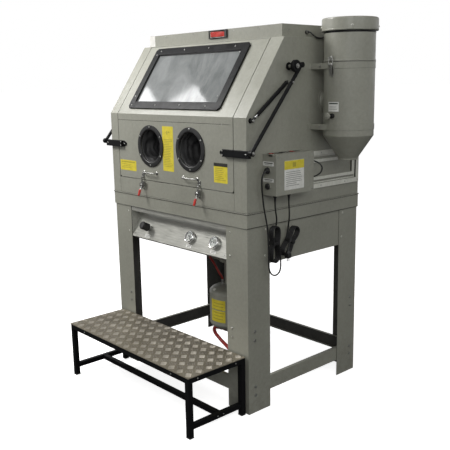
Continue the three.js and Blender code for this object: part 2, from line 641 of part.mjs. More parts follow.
// A mitred frame that clamps the pane, with its outer corners cut off.
function makeWindowFrame() {
  const { x, half, low, high, band, proud } = WINDOW;
  const [w, s0, s1, c] = [half + band, low - band, high + band, 16];
  const outer = outline([[-w + c, s0], [w - c, s0], [w, s0 + c], [w, s1 - c], [w - c, s1], [-w + c, s1],
    [-w, s1 - c], [-w, s0 + c]]);
  const opening = box(-half, half, low, high, -5, proud + 5);
  return onSlope(cut(extrude(outer, proud).translate(0, 0, GAP), opening).translate(x, 0, 0));
}

// The rubber glove with its clamping ring, straight in through the door. Open at the ring.
function makeGlove(x) {
  const { radius, ring, proud, reach, z } = ARM_HOLE;
  const inner = radius - 8;
  const profile = [[ring, GAP], [ring, proud - 2], [ring - 3, proud], [inner, proud], [inner, -20],
    [72, -220], [52, -reach + 40], [40, -reach + 8], [0, -reach + 4], [0, -reach], [44, -reach + 4],
    [56, -reach + 38], [76, -222], [radius - 2, -22], [radius - 2, GAP], [ring, GAP]];
  return surface(solid(turned(profile, 24))).rotateX(Math.PI / 2).translate(x, 0, z);
}

// A channel from the door's face out past the cabinet's corner, carrying the arm's pivot pin.
function makeBracket(side) {
  const { tip, end, low, high, proud } = BRACKET;
  const inner = side * BRACKET.x + tip;
  const middle = (low + high) / 2;
  const plate = alongY(outline([[inner - 14, middle - 6], [inner + 10, low], [inner + 60, low],
    [inner + 60, high], [inner + 10, high], [inner - 14, middle + 6]]), -4, -GAP);
  const channel = cut(box(inner + 20, end, -proud, -GAP, low, high),
    box(inner + 23, end - 4, -proud + 3, GAP, low + 3, high - 3));
  const pin = bar([end - 3, ...DOOR_PIVOT], [ARM_X + 13, ...DOOR_PIVOT], 5, 12);
  return sided(join(plate, channel, pin), side);
}

add('door_upper_panel', makeDoorUpper(), powderCoat);
add('door_lower_panel', makeDoorLower(), powderCoat);
add('window_frame', makeWindowFrame(), blackPaint);
add('window_glass', onSlope(box(WINDOW.x - WINDOW.half - 8, WINDOW.x + WINDOW.half + 8, WINDOW.low - 8,
  WINDOW.high + 8, -5, 0)), clearGlass);
for (const [name, side] of SIDES) {
  add(`glove_${name}`, makeGlove(ARM_HOLE.x + side * ARM_HOLE.spread), blackRubber);
  add(`door_bracket_${name}`, makeBracket(side), blackPaint);
}

// ---------------------------------------------------------------- lift arms and gas struts
const inPlane = (x, [y, z]) => [x, y, z];
const strutRun = Math.hypot(STRUT_HEAD[0] - STRUT_FOOT[0], STRUT_HEAD[1] - STRUT_FOOT[1]);

function onStrut(distance) {
  const share = distance / strutRun;
  return STRUT_FOOT.map((foot, i) => foot + share * (STRUT_HEAD[i] - foot));
}

function boss(centre, radius, x0, x1, sides = 18) {
  return bar(inPlane(x0, centre), inPlane(x1, centre), radius, sides);
}

function makeLiftArm(side) {
  const tube = bar(inPlane(ARM_X, DOOR_PIVOT), inPlane(ARM_X, ARM_TOP), ARM_RADIUS, 14);
  const eyes = [boss(DOOR_PIVOT, 15, ARM_X - 12, ARM_X + 12), boss(ARM_TOP, 14, ARM_X - 12, ARM_X + 12)];
  const disc = boss(ARM_PIVOT, 31, ARM_X - 10, ARM_X + 12, 24);
  const web = bar(inPlane(ARM_X, ARM_PIVOT), inPlane(ARM_X, ARM_TOP), 9, 10);
  const head = boss(STRUT_HEAD, 7, STRUT_X + 13, ARM_X);
  const arm = cut(join(tube, ...eyes, disc, web, head),
    boss(DOOR_PIVOT, 5.4, ARM_X - 20, ARM_X + 20, 12), boss(ARM_PIVOT, 8.4, ARM_X - 20, ARM_X + 20, 12));
  return sided(arm, side);
}

function makeStrutRod(side) {
  const rod = bar(inPlane(STRUT_X, onStrut(5)), inPlane(STRUT_X, onStrut(210)), 4.5, 10);
  const eye = boss(STRUT_FOOT, 9, STRUT_X - 7, STRUT_X + 7, 14);
  return sided(cut(join(rod, eye), boss(STRUT_FOOT, 5.4, STRUT_X - 20, STRUT_X + 20, 12)), side);
}

function makeStrutCylinder(side) {
  const tube = cut(bar(inPlane(STRUT_X, onStrut(46)), inPlane(STRUT_X, onStrut(strutRun - 4)), 10, 14),
    bar(inPlane(STRUT_X, onStrut(40)), inPlane(STRUT_X, onStrut(250)), 5.2, 12));
  return sided(join(tube, boss(STRUT_HEAD, 10, STRUT_X - 8, STRUT_X + 8, 14)), side);
}

for (const [name, side] of SIDES) {
  add(`lift_arm_${name}`, makeLiftArm(side), blackPaint);
  add(`strut_rod_${name}`, makeStrutRod(side), brightSteel);
  add(`strut_cylinder_${name}`, makeStrutCylinder(side), blackPaint);
}

// ---------------------------------------------------------------- door clamps
function makeClampLever(x) {
  const [y, z] = [-16.5, CLAMP.z];
  const eye = bar([x - 7, y, z], [x + 7, y, z], 7.5, 14);
  const arm = bar([x, y, z], [x, y - 14, z - 34], 4, 10);
  const grip = bar([x, y - 12, z - 28], [x, y - 26, z - 64], 7, 12);
  return join(eye, arm, grip);
}

CLAMP.xs.forEach((x, i) => add(`clamp_lever_${SIDES[i][0]}`, makeClampLever(x), redPlastic));

// ---------------------------------------------------------------- free cords, stored in hanks
const HANK = { width: 60, x0: 606, x1: 650 };

// A hank leans in the (y, z) plane between the middles of its two round ends.
function makeHank({ top, bottom }) {
  const { width, x0, x1 } = HANK;
  const length = Math.hypot(top[0] - bottom[0], top[1] - bottom[1]);
  const shape = new THREE.Shape();
  shape.absarc(0, length, width / 2, 0, Math.PI);
  shape.absarc(0, 0, width / 2, Math.PI, 2 * Math.PI);
  const lean = Math.atan2(bottom[0] - top[0], top[1] - bottom[1]);
  const flat = extrude(shape, x1 - x0).applyMatrix4(new THREE.Matrix4().makeBasis(
    new THREE.Vector3(0, 1, 0), new THREE.Vector3(0, 0, 1), new THREE.Vector3(1, 0, 0)));
  return surface(solid(flat.rotateX(lean).translate(x0, bottom[0], bottom[1])));
}

const socketHank = { top: [170, 990], bottom: [170, 848] };
const powerHank = { top: [320, 968], bottom: [254, 870] };

const socketFeed = [[643, 106.6, 1313], [643, 98, 1312.5], [641, 88, 1307], [638, 80, 1292], [634, 77, 1268],
  [630, 79, 1235], [628, 86, 1180], [627, 95, 1120], [627, 106, 1070], [627, 117, 1020], [627, 123, 970],
  [627, 126, 920], [627, 127, 860], [628, 126, 815], [631, 126, 790], [637, 134, 767], [643, 150, 757],
  [646, 172, 764], [646, 190, 784], [646, 197, 806]];
const socketReturn = [[OUTLETS.x, OUTLETS.ys[0], 1168.7], [OUTLETS.x, OUTLETS.ys[0], 1140], [643, 162, 1100],
  [636, 176, 1066], [624, 190, 1044], [613, 198, 1026]];
const powerFeed = [[OUTLETS.x, OUTLETS.ys[1], 1168.7], [OUTLETS.x, OUTLETS.ys[1], 1140], [644, 264, 1100],
  [638, 272, 1060], [626, 281, 1028], [616, 286, 1008]];

function makeCord(points, steps) {
  return surface(solid(hose(points, CORD / 2, 8, steps)));
}

function makePlug() {
  const [x, y, z] = [666, 232, 884];
  const body = frustum([x - 13, x + 13, y - 14, y + 14], [x - 9, x + 9, y - 10, y + 10], z - 42, z);
  const pins = [-7, 7].map((at) => bar([x, y + at, z - 61], [x, y + at, z - 41], 2.4, 8));
  return join(body, ...pins);
}

add('socket_cord_feed', makeCord(socketFeed, 26), blackRubber, cords);
add('socket_cord_hank', makeHank(socketHank), blackRubber, cords);
add('socket_cord_return', makeCord(socketReturn, 8), blackRubber, cords);
add('power_cord_feed', makeCord(powerFeed, 10), blackRubber, cords);
add('power_cord_hank', makeHank(powerHank), blackRubber, cords);
add('power_plug', makePlug(), blackPlastic, cords);

// ---------------------------------------------------------------- the part's own origin
// The origin is on the floor under the middle of the machine's outline, cords not counted.
const span = new THREE.Box3().setFromObject(machine);
const middle = span.getCenter(new THREE.Vector3());
const cabinet = new THREE.Group();
cabinet.add(machine, cords);
cabinet.position.set(-middle.x, -middle.y, 0);
cabinet.updateMatrixWorld(true);

export default cabinet;
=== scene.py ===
import math
import random

import bmesh
import bpy
from mathutils import Matrix, Vector, noise


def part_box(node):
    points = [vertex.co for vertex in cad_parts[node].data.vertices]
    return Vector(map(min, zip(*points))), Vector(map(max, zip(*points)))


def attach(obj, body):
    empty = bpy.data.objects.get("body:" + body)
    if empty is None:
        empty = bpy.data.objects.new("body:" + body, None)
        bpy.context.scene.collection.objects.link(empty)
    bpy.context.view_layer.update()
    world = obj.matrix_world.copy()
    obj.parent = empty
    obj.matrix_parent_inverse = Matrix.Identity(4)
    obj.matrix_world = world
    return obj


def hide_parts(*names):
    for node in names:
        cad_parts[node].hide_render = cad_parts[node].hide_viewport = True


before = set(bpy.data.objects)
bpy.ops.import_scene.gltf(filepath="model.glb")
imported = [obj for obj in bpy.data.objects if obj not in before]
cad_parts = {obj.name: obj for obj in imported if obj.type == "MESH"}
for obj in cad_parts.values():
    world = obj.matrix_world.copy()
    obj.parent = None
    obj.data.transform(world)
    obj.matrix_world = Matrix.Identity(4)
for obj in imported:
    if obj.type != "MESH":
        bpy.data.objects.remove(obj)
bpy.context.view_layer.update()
random.seed(7)

# ------------------------------------------------------------------ the cabinet's own coordinates
# Lengths below are millimetres from the middle of the cabinet's front edge on the floor.
rim_low, rim_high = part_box("hopper")
ORIGIN = Vector(((rim_low.x + rim_high.x) / 2, rim_low.y + 0.004, 0))
HALF_WIDTH, DEPTH = 600.0, 910.0
TO_ROW = Matrix.Translation(ORIGIN) @ Matrix.Scale(0.001, 4)


def row_point(point):
    return TO_ROW @ Vector(point)


def make_camera():
    azimuth, elevation, roll = (math.radians(a) for a in (47.96, 11.63, -1.01))
    back = Vector((math.sin(azimuth) * math.cos(elevation), -math.cos(azimuth) * math.cos(elevation),
                   math.sin(elevation)))
    across = Vector((0, 0, 1)).cross(back).normalized()
    up = back.cross(across)
    right = math.cos(roll) * across + math.sin(roll) * up
    top = -math.sin(roll) * across + math.cos(roll) * up
    data = bpy.data.cameras.new("view")
    data.lens = 55.22
    data.sensor_width = 36
    data.clip_end = 600
    camera = bpy.data.objects.new("view", data)
    place = Matrix((right, top, back)).transposed().to_4x4()
    place.translation = row_point((3061, -2370, 1749))
    camera.matrix_world = place
    bpy.context.scene.collection.objects.link(camera)
    bpy.context.scene.camera = camera


make_camera()


# ------------------------------------------------------------------ materials
class Paint:
    """A node material with short names for the nodes it is made of."""

    def __init__(self, name, **sockets):
        self.material = bpy.data.materials.new(name)
        self.material.use_nodes = True
        self.tree = self.material.node_tree
        self.shader = self.tree.nodes["Principled BSDF"]
        for key, value in sockets.items():
            self.put(self.shader, key, value)
        self.place = self.tree.nodes.new("ShaderNodeTexCoord").outputs["Object"]
        self.relief = None

    def put(self, node, key, value):
        socket = node.inputs[key.replace("_", " ")]
        if isinstance(value, bpy.types.NodeSocket):
            self.tree.links.new(value, socket)
        else:
            socket.default_value = value

    def add(self, kind, settings=(), **inputs):
        node = self.tree.nodes.new(kind)
        for key, value in dict(settings).items():
            setattr(node, key, value)
        for key, value in inputs.items():
            self.put(node, key, value)
        return node

    def stretched(self, x, y, z):
        return self.add("ShaderNodeMapping", Vector=self.place, Scale=(x, y, z)).outputs[0]

    def noise(self, scale, detail=3.0, rough=0.55, vector=None, warp=0.0):
        node = self.add("ShaderNodeTexNoise", Vector=vector or self.place, Scale=scale, Detail=detail,
                        Roughness=rough, Distortion=warp)
        return node.outputs["Fac"]

    def ramp(self, factor, low, high, a=0.35, b=0.65):
        """Numbers or colours from low to high as factor goes from a to b."""
        as_colour = [v if hasattr(v, "__len__") else (v, v, v) for v in (low, high)]
        node = self.add("ShaderNodeValToRGB", Fac=factor)
        for element, position, colour in zip(node.color_ramp.elements, (a, b), as_colour):
            element.position = position
            element.color = (*colour[:3], 1)
        return node.outputs["Color"]

    def mix(self, factor, a, b, blend="MIX"):
        node = self.tree.nodes.new("ShaderNodeMix")
        node.data_type = "RGBA"
        node.blend_type = blend
        for socket, value in zip((node.inputs[0], node.inputs[6], node.inputs[7]), (factor, a, b)):
            if isinstance(value, bpy.types.NodeSocket):
                self.tree.links.new(value, socket)
            elif hasattr(value, "__len__"):
                socket.default_value = (*value[:3], 1)
            else:
                socket.default_value = value
        return node.outputs[2]

    def bump(self, height, strength, distance):
        inputs = {"Height": height, "Strength": strength, "Distance": distance}
        if self.relief is not None:
            inputs["Normal"] = self.relief
        self.relief = self.add("ShaderNodeBump", **inputs).outputs["Normal"]
        self.put(self.shader, "Normal", self.relief)

    def colour(self, value):
        self.put(self.shader, "Base_Color", value)

    def roughness(self, value):
        self.put(self.shader, "Roughness", value)


def powder_coat():
    paint = Paint("powder_coat", Metallic=0.0, IOR=1.5)
    cloudy = paint.ramp(paint.noise(2.3, 4), (0.262, 0.262, 0.222), (0.3, 0.3, 0.256))
    mottled = paint.ramp(paint.noise(55, 5, 0.7), 0.93, 1.04)
    body = paint.mix(1.0, cloudy, mottled, "MULTIPLY")
    smudges = paint.ramp(paint.noise(9, 5, 0.65, warp=0.6), 0, 0.35, 0.58, 0.75)
    body = paint.mix(smudges, body, (0.19, 0.188, 0.158))
    # darker in patches towards the bottom, below 0.35 m
    height = paint.add("ShaderNodeSeparateXYZ", Vector=paint.place).outputs["Z"]
    low = paint.add("ShaderNodeMapRange", Value=height, From_Min=0.35, From_Max=0.0, To_Min=0.0,
                    To_Max=0.32).outputs[0]
    low_dark_patches = paint.mix(1.0, low, paint.ramp(paint.noise(26, 6, 0.7), 0, 1, 0.42, 0.6), "MULTIPLY")
    paint.colour(paint.mix(low_dark_patches, body, (0.13, 0.125, 0.1)))
    paint.roughness(paint.ramp(paint.noise(18, 4), 0.3, 0.42))
    paint.bump(paint.noise(420, 2), 0.12, 0.0006)
    paint.bump(paint.noise(5, 2), 0.25, 0.004)
    return paint.material


def painted_shade_coat():
    """Painted shade: a darker copy of the coat for inward faces, which the cabinet shades; with dust and
    grit.
    """
    paint = Paint("painted_shade_coat", Metallic=0.0)
    body = paint.ramp(paint.noise(6, 5, 0.6, warp=0.5), (0.042, 0.042, 0.038), (0.07, 0.068, 0.061))
    dust = paint.ramp(paint.noise(140, 5, 0.7), 0, 0.4, 0.55, 0.75)
    paint.colour(paint.mix(dust, body, (0.12, 0.117, 0.1)))
    paint.roughness(paint.ramp(paint.noise(30, 4), 0.5, 0.7))
    paint.bump(paint.noise(420, 3), 0.2, 0.0006)
    return paint.material


def black_paint():
    paint = Paint("black_paint", Metallic=0.0, Specular_IOR_Level=0.16)
    scuffed = paint.ramp(paint.noise(120, 6, 0.75), 0, 0.5, 0.66, 0.74)
    paint.colour(paint.mix(scuffed, (0.006, 0.0062, 0.007), (0.035, 0.034, 0.032)))
    paint.roughness(paint.ramp(paint.noise(30, 4), 0.32, 0.46))
    paint.bump(paint.noise(500, 2), 0.15, 0.0006)
    return paint.material


def rubber(name, colour, folds=0.0):
    paint = Paint(name, Metallic=0.0)
    chalk = paint.ramp(paint.noise(40, 5, 0.7), 0, 0.35, 0.5, 0.75)
    paint.colour(paint.mix(chalk, colour, [c * 1.6 + 0.012 for c in colour]))
    paint.roughness(paint.ramp(paint.noise(60, 3), 0.38, 0.56))
    paint.bump(paint.noise(900, 2), 0.25, 0.0005)
    if folds:
        paint.bump(paint.noise(16, 4, vector=paint.stretched(1, 0.35, 1), warp=0.8), 0.5, folds)
    return paint.material


def hose_rubber():
    paint = Paint("red_hose", Metallic=0.0)
    paint.colour(paint.ramp(paint.noise(45, 5), (0.27, 0.012, 0.01), (0.42, 0.03, 0.02)))
    paint.roughness(paint.ramp(paint.noise(70, 3), 0.38, 0.55))
    weave = paint.add("ShaderNodeTexWave", {"wave_type": "BANDS", "bands_direction": "DIAGONAL"},
                      Vector=paint.place, Scale=260.0, Distortion=1.5).outputs["Fac"]
    paint.bump(weave, 0.35, 0.0006)
    return paint.material


def metal(name, dark, light, low_rough, high_rough, grain=(1, 1, 1), scratch=0.15):
    paint = Paint(name, Metallic=1.0)
    brushed = paint.noise(90, 6, 0.7, vector=paint.stretched(*grain))
    paint.colour(paint.ramp(brushed, dark, light, 0.3, 0.7))
    paint.roughness(paint.ramp(brushed, low_rough, high_rough, 0.3, 0.7))
    paint.bump(paint.noise(500, 3, vector=paint.stretched(*grain)), scratch, 0.0003)
    return paint.material


def tread_metal(name, dark, light, rough):
    paint = Paint(name, Metallic=0.82)
    worn = paint.noise(7, 6, 0.7, warp=0.4)
    grime = paint.ramp(paint.noise(75, 6, 0.75), 0, 0.55, 0.5, 0.68)
    body = paint.ramp(worn, dark, light, 0.35, 0.65)
    paint.colour(paint.mix(grime, body, [c * 0.55 for c in dark]))
    paint.roughness(paint.ramp(paint.noise(60, 5), rough, rough + 0.16))
    paint.bump(paint.noise(380, 4), 0.2, 0.0006)
    return paint.material


def plain(name, dark, light, grain, rough, relief, spread=(0.35, 0.65)):
    """A dull skin. Grain, rough and relief each begin with the numbers of their noise."""
    paint = Paint(name, Metallic=0.0)
    paint.colour(paint.ramp(paint.noise(*grain), dark, light, *spread))
    paint.roughness(paint.ramp(paint.noise(rough[0], 3), *rough[1:]))
    paint.bump(paint.noise(*relief[:2]), *relief[2:])
    return paint.material


def plastic(name, dark, light, rough, texture=0.1):
    return plain(name, dark, light, (30, 4), (45, rough, rough + 0.12), (800, 2, texture, 0.0004))


def sticker(name, dark, light):
    return plain(name, dark, light, (35, 5, 0.7), (90, 0.3, 0.5), (250, 3, 0.08, 0.0004), (0.3, 0.7))


def hazy_pane():
    paint = Paint("window_pane", Metallic=0.0, IOR=1.45)
    streaks = paint.noise(3.2, 6, 0.6, vector=paint.stretched(1.5, 0.8, 0.8), warp=1.6)
    dust = paint.noise(70, 6, 0.75)
    cloudy = paint.ramp(streaks, (0.15, 0.16, 0.16), (0.26, 0.27, 0.27), 0.3, 0.7)
    paint.colour(paint.mix(paint.ramp(dust, 0, 0.12, 0.5, 0.75), cloudy, (0.4, 0.4, 0.39)))
    paint.roughness(paint.ramp(streaks, 0.05, 0.1, 0.35, 0.7))
    paint.put(paint.shader, "Alpha", paint.ramp(streaks, 0.78, 0.93, 0.3, 0.7))
    scratches = paint.noise(16, 5, vector=paint.stretched(0.5, 4, 4), warp=1.8)
    paint.bump(scratches, 0.045, 0.001)
    return paint.material


def satin_panel():
    """Smooth satin coat with fine streaks along the sheet."""
    paint = Paint("satin_panel", Metallic=0.35)
    streaks = paint.noise(22, 5, 0.65, vector=paint.stretched(0.5, 7, 7))
    paint.colour(paint.ramp(streaks, (0.33, 0.33, 0.3), (0.5, 0.5, 0.46), 0.3, 0.7))
    paint.roughness(paint.ramp(streaks, 0.26, 0.42, 0.3, 0.7))
    paint.bump(paint.noise(300, 3, vector=paint.stretched(0.3, 3, 3)), 0.1, 0.0005)
    return paint.material


def clear_lens():
    paint = Paint("gauge_lens", Metallic=0.0, IOR=1.45, Roughness=0.04, Transmission_Weight=1.0)
    paint.colour(paint.ramp(paint.noise(40, 2), (0.93, 0.95, 0.95), (1, 1, 1)))
    paint.bump(paint.noise(60, 2), 0.02, 0.0005)
    return paint.material


COAT = powder_coat()
SATIN = satin_panel()
SHADED_INNER_COAT = painted_shade_coat()
BLACK = black_paint()
RUBBER = rubber("black_rubber", (0.05, 0.05, 0.051), 0.004)
CORD_SKIN = rubber("cord_skin", (0.009, 0.009, 0.0095))
HOSE = hose_rubber()
CHROME = metal("polished_steel", (0.68, 0.68, 0.69), (0.88, 0.88, 0.88), 0.08, 0.2)
ZINC = metal("zinc_steel", (0.3, 0.3, 0.29), (0.5, 0.5, 0.48), 0.25, 0.45)
DARK_STEEL = metal("dusty_steel", (0.05, 0.048, 0.045), (0.16, 0.155, 0.145), 0.4, 0.6)
BRUSHED = metal("brushed_steel", (0.38, 0.38, 0.38), (0.62, 0.62, 0.61), 0.18, 0.34, (1, 12, 1))
TREAD = tread_metal("tread_plate", (0.25, 0.22, 0.165), (0.38, 0.345, 0.275), 0.4)
TREAD_BAR = tread_metal("tread_bar", (0.36, 0.33, 0.28), (0.52, 0.48, 0.42), 0.36)
RED = plastic("red_plastic", (0.42, 0.018, 0.012), (0.6, 0.035, 0.022), 0.25)
BLACK_PLASTIC = plastic("black_plastic", (0.009, 0.009, 0.009), (0.016, 0.016, 0.016), 0.35, 0.25)
WHITE_PLASTIC = plastic("white_plastic", (0.6, 0.59, 0.55), (0.72, 0.71, 0.68), 0.35)
LAMP = plastic("lamp_glass", (0.82, 0.85, 0.82), (0.95, 0.97, 0.95), 0.15)
PANE = hazy_pane()
LENS = clear_lens()
YELLOW = sticker("yellow_film", (0.6, 0.5, 0.03), (0.74, 0.62, 0.06))
WHITE = sticker("white_film", (0.6, 0.6, 0.57), (0.76, 0.76, 0.73))
INK = sticker("ink", (0.015, 0.015, 0.014), (0.035, 0.034, 0.03))
FADED_INK = sticker("faded_ink", (0.36, 0.3, 0.03), (0.46, 0.39, 0.05))
GREY_INK = sticker("grey_ink", (0.2, 0.2, 0.19), (0.3, 0.3, 0.28))
# pale coat: painted highlights on the stand's rim and the port's bands, and pale screw heads
EDGE = sticker("pale_edge_and_painted_highlight", (0.56, 0.56, 0.5), (0.7, 0.7, 0.64))
DIAL_RED = sticker("dial_red", (0.5, 0.03, 0.02), (0.6, 0.05, 0.03))
PAPER = plain("pleated_paper", (0.42, 0.38, 0.28), (0.68, 0.63, 0.5), (25, 6, 0.7), (120, 0.8, 0.95),
              (400, 4, 0.3, 0.0008))


# ------------------------------------------------------------------ placing flat work
def place(origin, across, up):
    """A frame at origin with X along across, Y along up and Z out of the face."""
    x = Vector(across).normalized()
    y = Vector(up).normalized()
    turn = Matrix((x, y, x.cross(y))).transposed().to_4x4()
    return Matrix.Translation(Vector(origin)) @ turn


def on_front(x, z, y=0.0):
    return place((x, y, z), (1, 0, 0), (0, 0, 1))


def on_right(y, z, x=HALF_WIDTH):
    return place((x, y, z), (0, 1, 0), (0, 0, 1))


def on_left(y, z, x=-HALF_WIDTH):
    return place((x, y, z), (0, -1, 0), (0, 0, 1))


def on_back(x, z, y=DEPTH):
    return place((x, y, z), (-1, 0, 0), (0, 0, 1))


def on_top(x, y, z=0.0):
    return place((x, y, z), (1, 0, 0), (0, 1, 0))


ACROSS = Vector((1, 0, 0))
SLOPE_UP = Vector((0, 275, 395)).normalized()
PANEL_UP = Vector((0, 61, 119)).normalized()


def on_slope(x, along, out=0.0):
    origin = Vector((x, 0, 1580)) + along * SLOPE_UP + out * ACROSS.cross(SLOPE_UP)
    return place(origin, ACROSS, SLOPE_UP)


def on_panel(x, along, out=0.0):
    origin = Vector((x, 6, 834)) + along * PANEL_UP + out * ACROSS.cross(PANEL_UP)
    return place(origin, ACROSS, PANEL_UP)


# ------------------------------------------------------------------ mesh building
class Shape:
    """Closed forms collected into one mesh, in cabinet millimetres."""

    def __init__(self, *materials):
        self.bm = bmesh.new()
        self.materials = materials

    def index(self, material):
        return self.materials.index(material) if material else 0

    def settle(self, verts, faces, at, material):
        if at is not None:
            bmesh.ops.transform(self.bm, matrix=at, verts=list(verts))
        for face in faces:
            face.material_index = self.index(material)

    def block(self, low, high, round_by=0.8, at=None, material=None):
        made = bmesh.ops.create_cube(self.bm, size=1.0)["verts"]
        for vert in made:
            for axis in range(3):
                vert.co[axis] = low[axis] if vert.co[axis] < 0 else high[axis]
        faces = {face for vert in made for face in vert.link_faces}
        edges = {edge for vert in made for edge in vert.link_edges}
        verts = set(made)
        if round_by:
            most = 0.45 * min(high[axis] - low[axis] for axis in range(3))
            done = bmesh.ops.bevel(self.bm, geom=list(edges), offset=min(round_by, most), segments=2,
                                   profile=0.5, affect="EDGES")
            faces = {f for f in faces if f.is_valid} | set(done["faces"])
            verts = {v for f in faces for v in f.verts}
        self.settle(verts, faces, at, material)

    def slab(self, outline, low, high, at=None, material=None, round_by=0.0):
        """An outline of (x, y) points drawn out from low to high along Z."""
        bottom = [self.bm.verts.new((x, y, low)) for x, y in outline]
        top = [self.bm.verts.new((x, y, high)) for x, y in outline]
        count = len(outline)
        faces = {self.bm.faces.new(bottom[::-1]), self.bm.faces.new(top)}
        for i in range(count):
            j = (i + 1) % count
            faces.add(self.bm.faces.new((bottom[i], bottom[j], top[j], top[i])))
        verts = set(bottom + top)
        if round_by:
            rim = {edge for face in faces for edge in face.edges
                   if edge.verts[0] in bottom and edge.verts[1] in bottom
                   or edge.verts[0] in top and edge.verts[1] in top}
            done = bmesh.ops.bevel(self.bm, geom=list(rim), offset=round_by, segments=2, profile=0.5,
                                   affect="EDGES")
            faces = {f for f in faces if f.is_valid} | set(done["faces"])
            verts = {v for f in faces for v in f.verts}
        self.settle(verts, faces, at, material)

    def turn(self, profile, at=None, sides=48, material=None, arc=None):
        """A profile of (radius, height) points turned about Z. It closes on the axis or on itself."""
        rings = []
        for radius, height in profile:
            if radius < 1e-6:
                rings.append([self.bm.verts.new((0, 0, height))])
                continue
            ring = []
            for i in range(sides):
                angle = 2 * math.pi * i / sides
                scale = arc(angle, height) if arc else 1.0
                ring.append(self.bm.verts.new((radius * scale * math.cos(angle),
                                               radius * scale * math.sin(angle), height)))
            rings.append(ring)
        closed = rings if len(rings[0]) == 1 else rings + [rings[0]]
        faces = set()
        for one, two in zip(closed, closed[1:]):
            for i in range(sides):
                j = (i + 1) % sides
                corners = [one[i % len(one)], one[j % len(one)], two[j % len(two)], two[i % len(two)]]
                unique = list(dict.fromkeys(corners))
                if len(unique) > 2:
                    faces.add(self.bm.faces.new(unique))
        self.settle({v for ring in rings for v in ring}, faces, at, material)

    def tube(self, points, radius, sides=12, material=None):
        """A round tube along points; radius is one number or one for each point."""
        path = [Vector(p) for p in points]
        radii = radius if hasattr(radius, "__len__") else [radius] * len(path)
        ahead = [(path[min(i + 1, len(path) - 1)] - path[max(i - 1, 0)]).normalized()
                 for i in range(len(path))]
        side = ahead[0].orthogonal().normalized()
        rings = []
        for i, point in enumerate(path):
            side = (side - side.dot(ahead[i]) * ahead[i]).normalized()
            other = ahead[i].cross(side)
            rings.append([self.bm.verts.new(point + radii[i] * (math.cos(a) * side + math.sin(a) * other))
                          for a in (2 * math.pi * k / sides for k in range(sides))])
        faces = set()
        for one, two in zip(rings, rings[1:]):
            for k in range(sides):
                j = (k + 1) % sides
                faces.add(self.bm.faces.new((one[k], one[j], two[j], two[k])))
        faces.add(self.bm.faces.new(rings[0][::-1]))
        faces.add(self.bm.faces.new(rings[-1]))
        self.settle((), faces, None, material)

    def rod(self, start, end, radius, sides=24, material=None, chamfer=0.0):
        """A straight round bar with chamfered ends."""
        a, b = Vector(start), Vector(end)
        length = (b - a).length
        up = (b - a).normalized()
        at = place(a, up.orthogonal(), up.cross(up.orthogonal()))
        c = min(chamfer, radius * 0.5, length * 0.3)
        profile = [(0, 0), (radius - c, 0)] + ([(radius, c), (radius, length - c)] if c else [])
        profile += [(radius - c, length), (0, length)] if c else [(radius, length), (0, length)]
        self.turn(profile, at, sides, material)

    def screw(self, at, radius=3.6, material=None):
        """A pan-head screw with a cross recess in ink."""
        r = radius
        self.turn([(0, -0.5), (r, -0.5), (r, r * 0.25), (r * 0.85, r * 0.5), (r * 0.5, r * 0.64),
                   (0, r * 0.68)], at, 16, material)
        for half in ((r * 0.55, r * 0.12), (r * 0.12, r * 0.55)):
            self.block((-half[0], -half[1], r * 0.5), (half[0], half[1], r * 0.7), 0, at, INK)

    def bolt(self, at, radius=6.0, material=None):
        """A hexagon bolt head on a washer."""
        r = radius
        self.turn([(0, -0.5), (r * 1.5, -0.5), (r * 1.5, 1.1), (r * 1.4, 1.4), (0, 1.4)], at, 24,
                  material)
        self.turn([(0, 1.2), (r, 1.2), (r, r * 0.62), (r * 0.84, r * 0.75), (0, r * 0.75)], at, 6,
                  material)

    def finish(self, name, body, slot, replaces=(), sharp=38, weighted=True):
        bmesh.ops.recalc_face_normals(self.bm, faces=self.bm.faces)
        bmesh.ops.transform(self.bm, matrix=TO_ROW, verts=self.bm.verts)
        mesh = bpy.data.meshes.new(name)
        self.bm.to_mesh(mesh)
        self.bm.free()
        for material in self.materials:
            mesh.materials.append(material)
        return show(mesh, name, body, replaces, sharp, weighted)


def show(mesh, name, body, replaces=(), sharp=38, weighted=True):
    mesh.polygons.foreach_set("use_smooth", [True] * len(mesh.polygons))
    mesh.set_sharp_from_angle(angle=math.radians(sharp))
    piece = bpy.data.objects.new(name, mesh)
    bpy.context.scene.collection.objects.link(piece)
    if weighted:
        even = piece.modifiers.new("even", "WEIGHTED_NORMAL")
        even.keep_sharp = True
        even.weight = 80
    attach(piece, body)
    if replaces:
        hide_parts(*replaces)
    return piece


def softened(node, body, material, width=0.8, inner=None, sharp=32, join=True):
    """The node's own shape with every hard edge rolled over, as folded and painted sheet has it. Faces
    that look towards the machine's middle take the inner material, which paints the shade on them. The
    door's sheets keep their triangles, without join, as a flat rim around an opening cannot be one
    polygon."""
    bm = bmesh.new()
    bm.from_mesh(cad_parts[node].data)
    bmesh.ops.remove_doubles(bm, verts=bm.verts, dist=2e-5)
    if join:
        bmesh.ops.dissolve_limit(bm, angle_limit=math.radians(0.6), verts=bm.verts, edges=bm.edges)
    hard = [e for e in bm.edges if len(e.link_faces) == 2 and e.calc_face_angle() > math.radians(sharp)]
    bmesh.ops.bevel(bm, geom=hard, offset=width / 1000, segments=2, profile=0.5, affect="EDGES",
                    clamp_overlap=True)
    # inward faces take the second material: painted shade where the cabinet shades its own inside
    middle = row_point((0, 455, 700))
    for face in bm.faces:
        way = face.calc_center_median() - middle
        inwards = max(-face.normal[axis] * (1 if way[axis] > 0 else -1) for axis in (0, 1))
        face.material_index = 1 if inner and inwards > 0.7 else 0
    mesh = bpy.data.meshes.new(node + "_finished")
    bm.to_mesh(mesh)
    bm.free()
    mesh.materials.append(material)
    if inner:
        mesh.materials.append(inner)
    return show(mesh, node + "_finished", body, (node,))


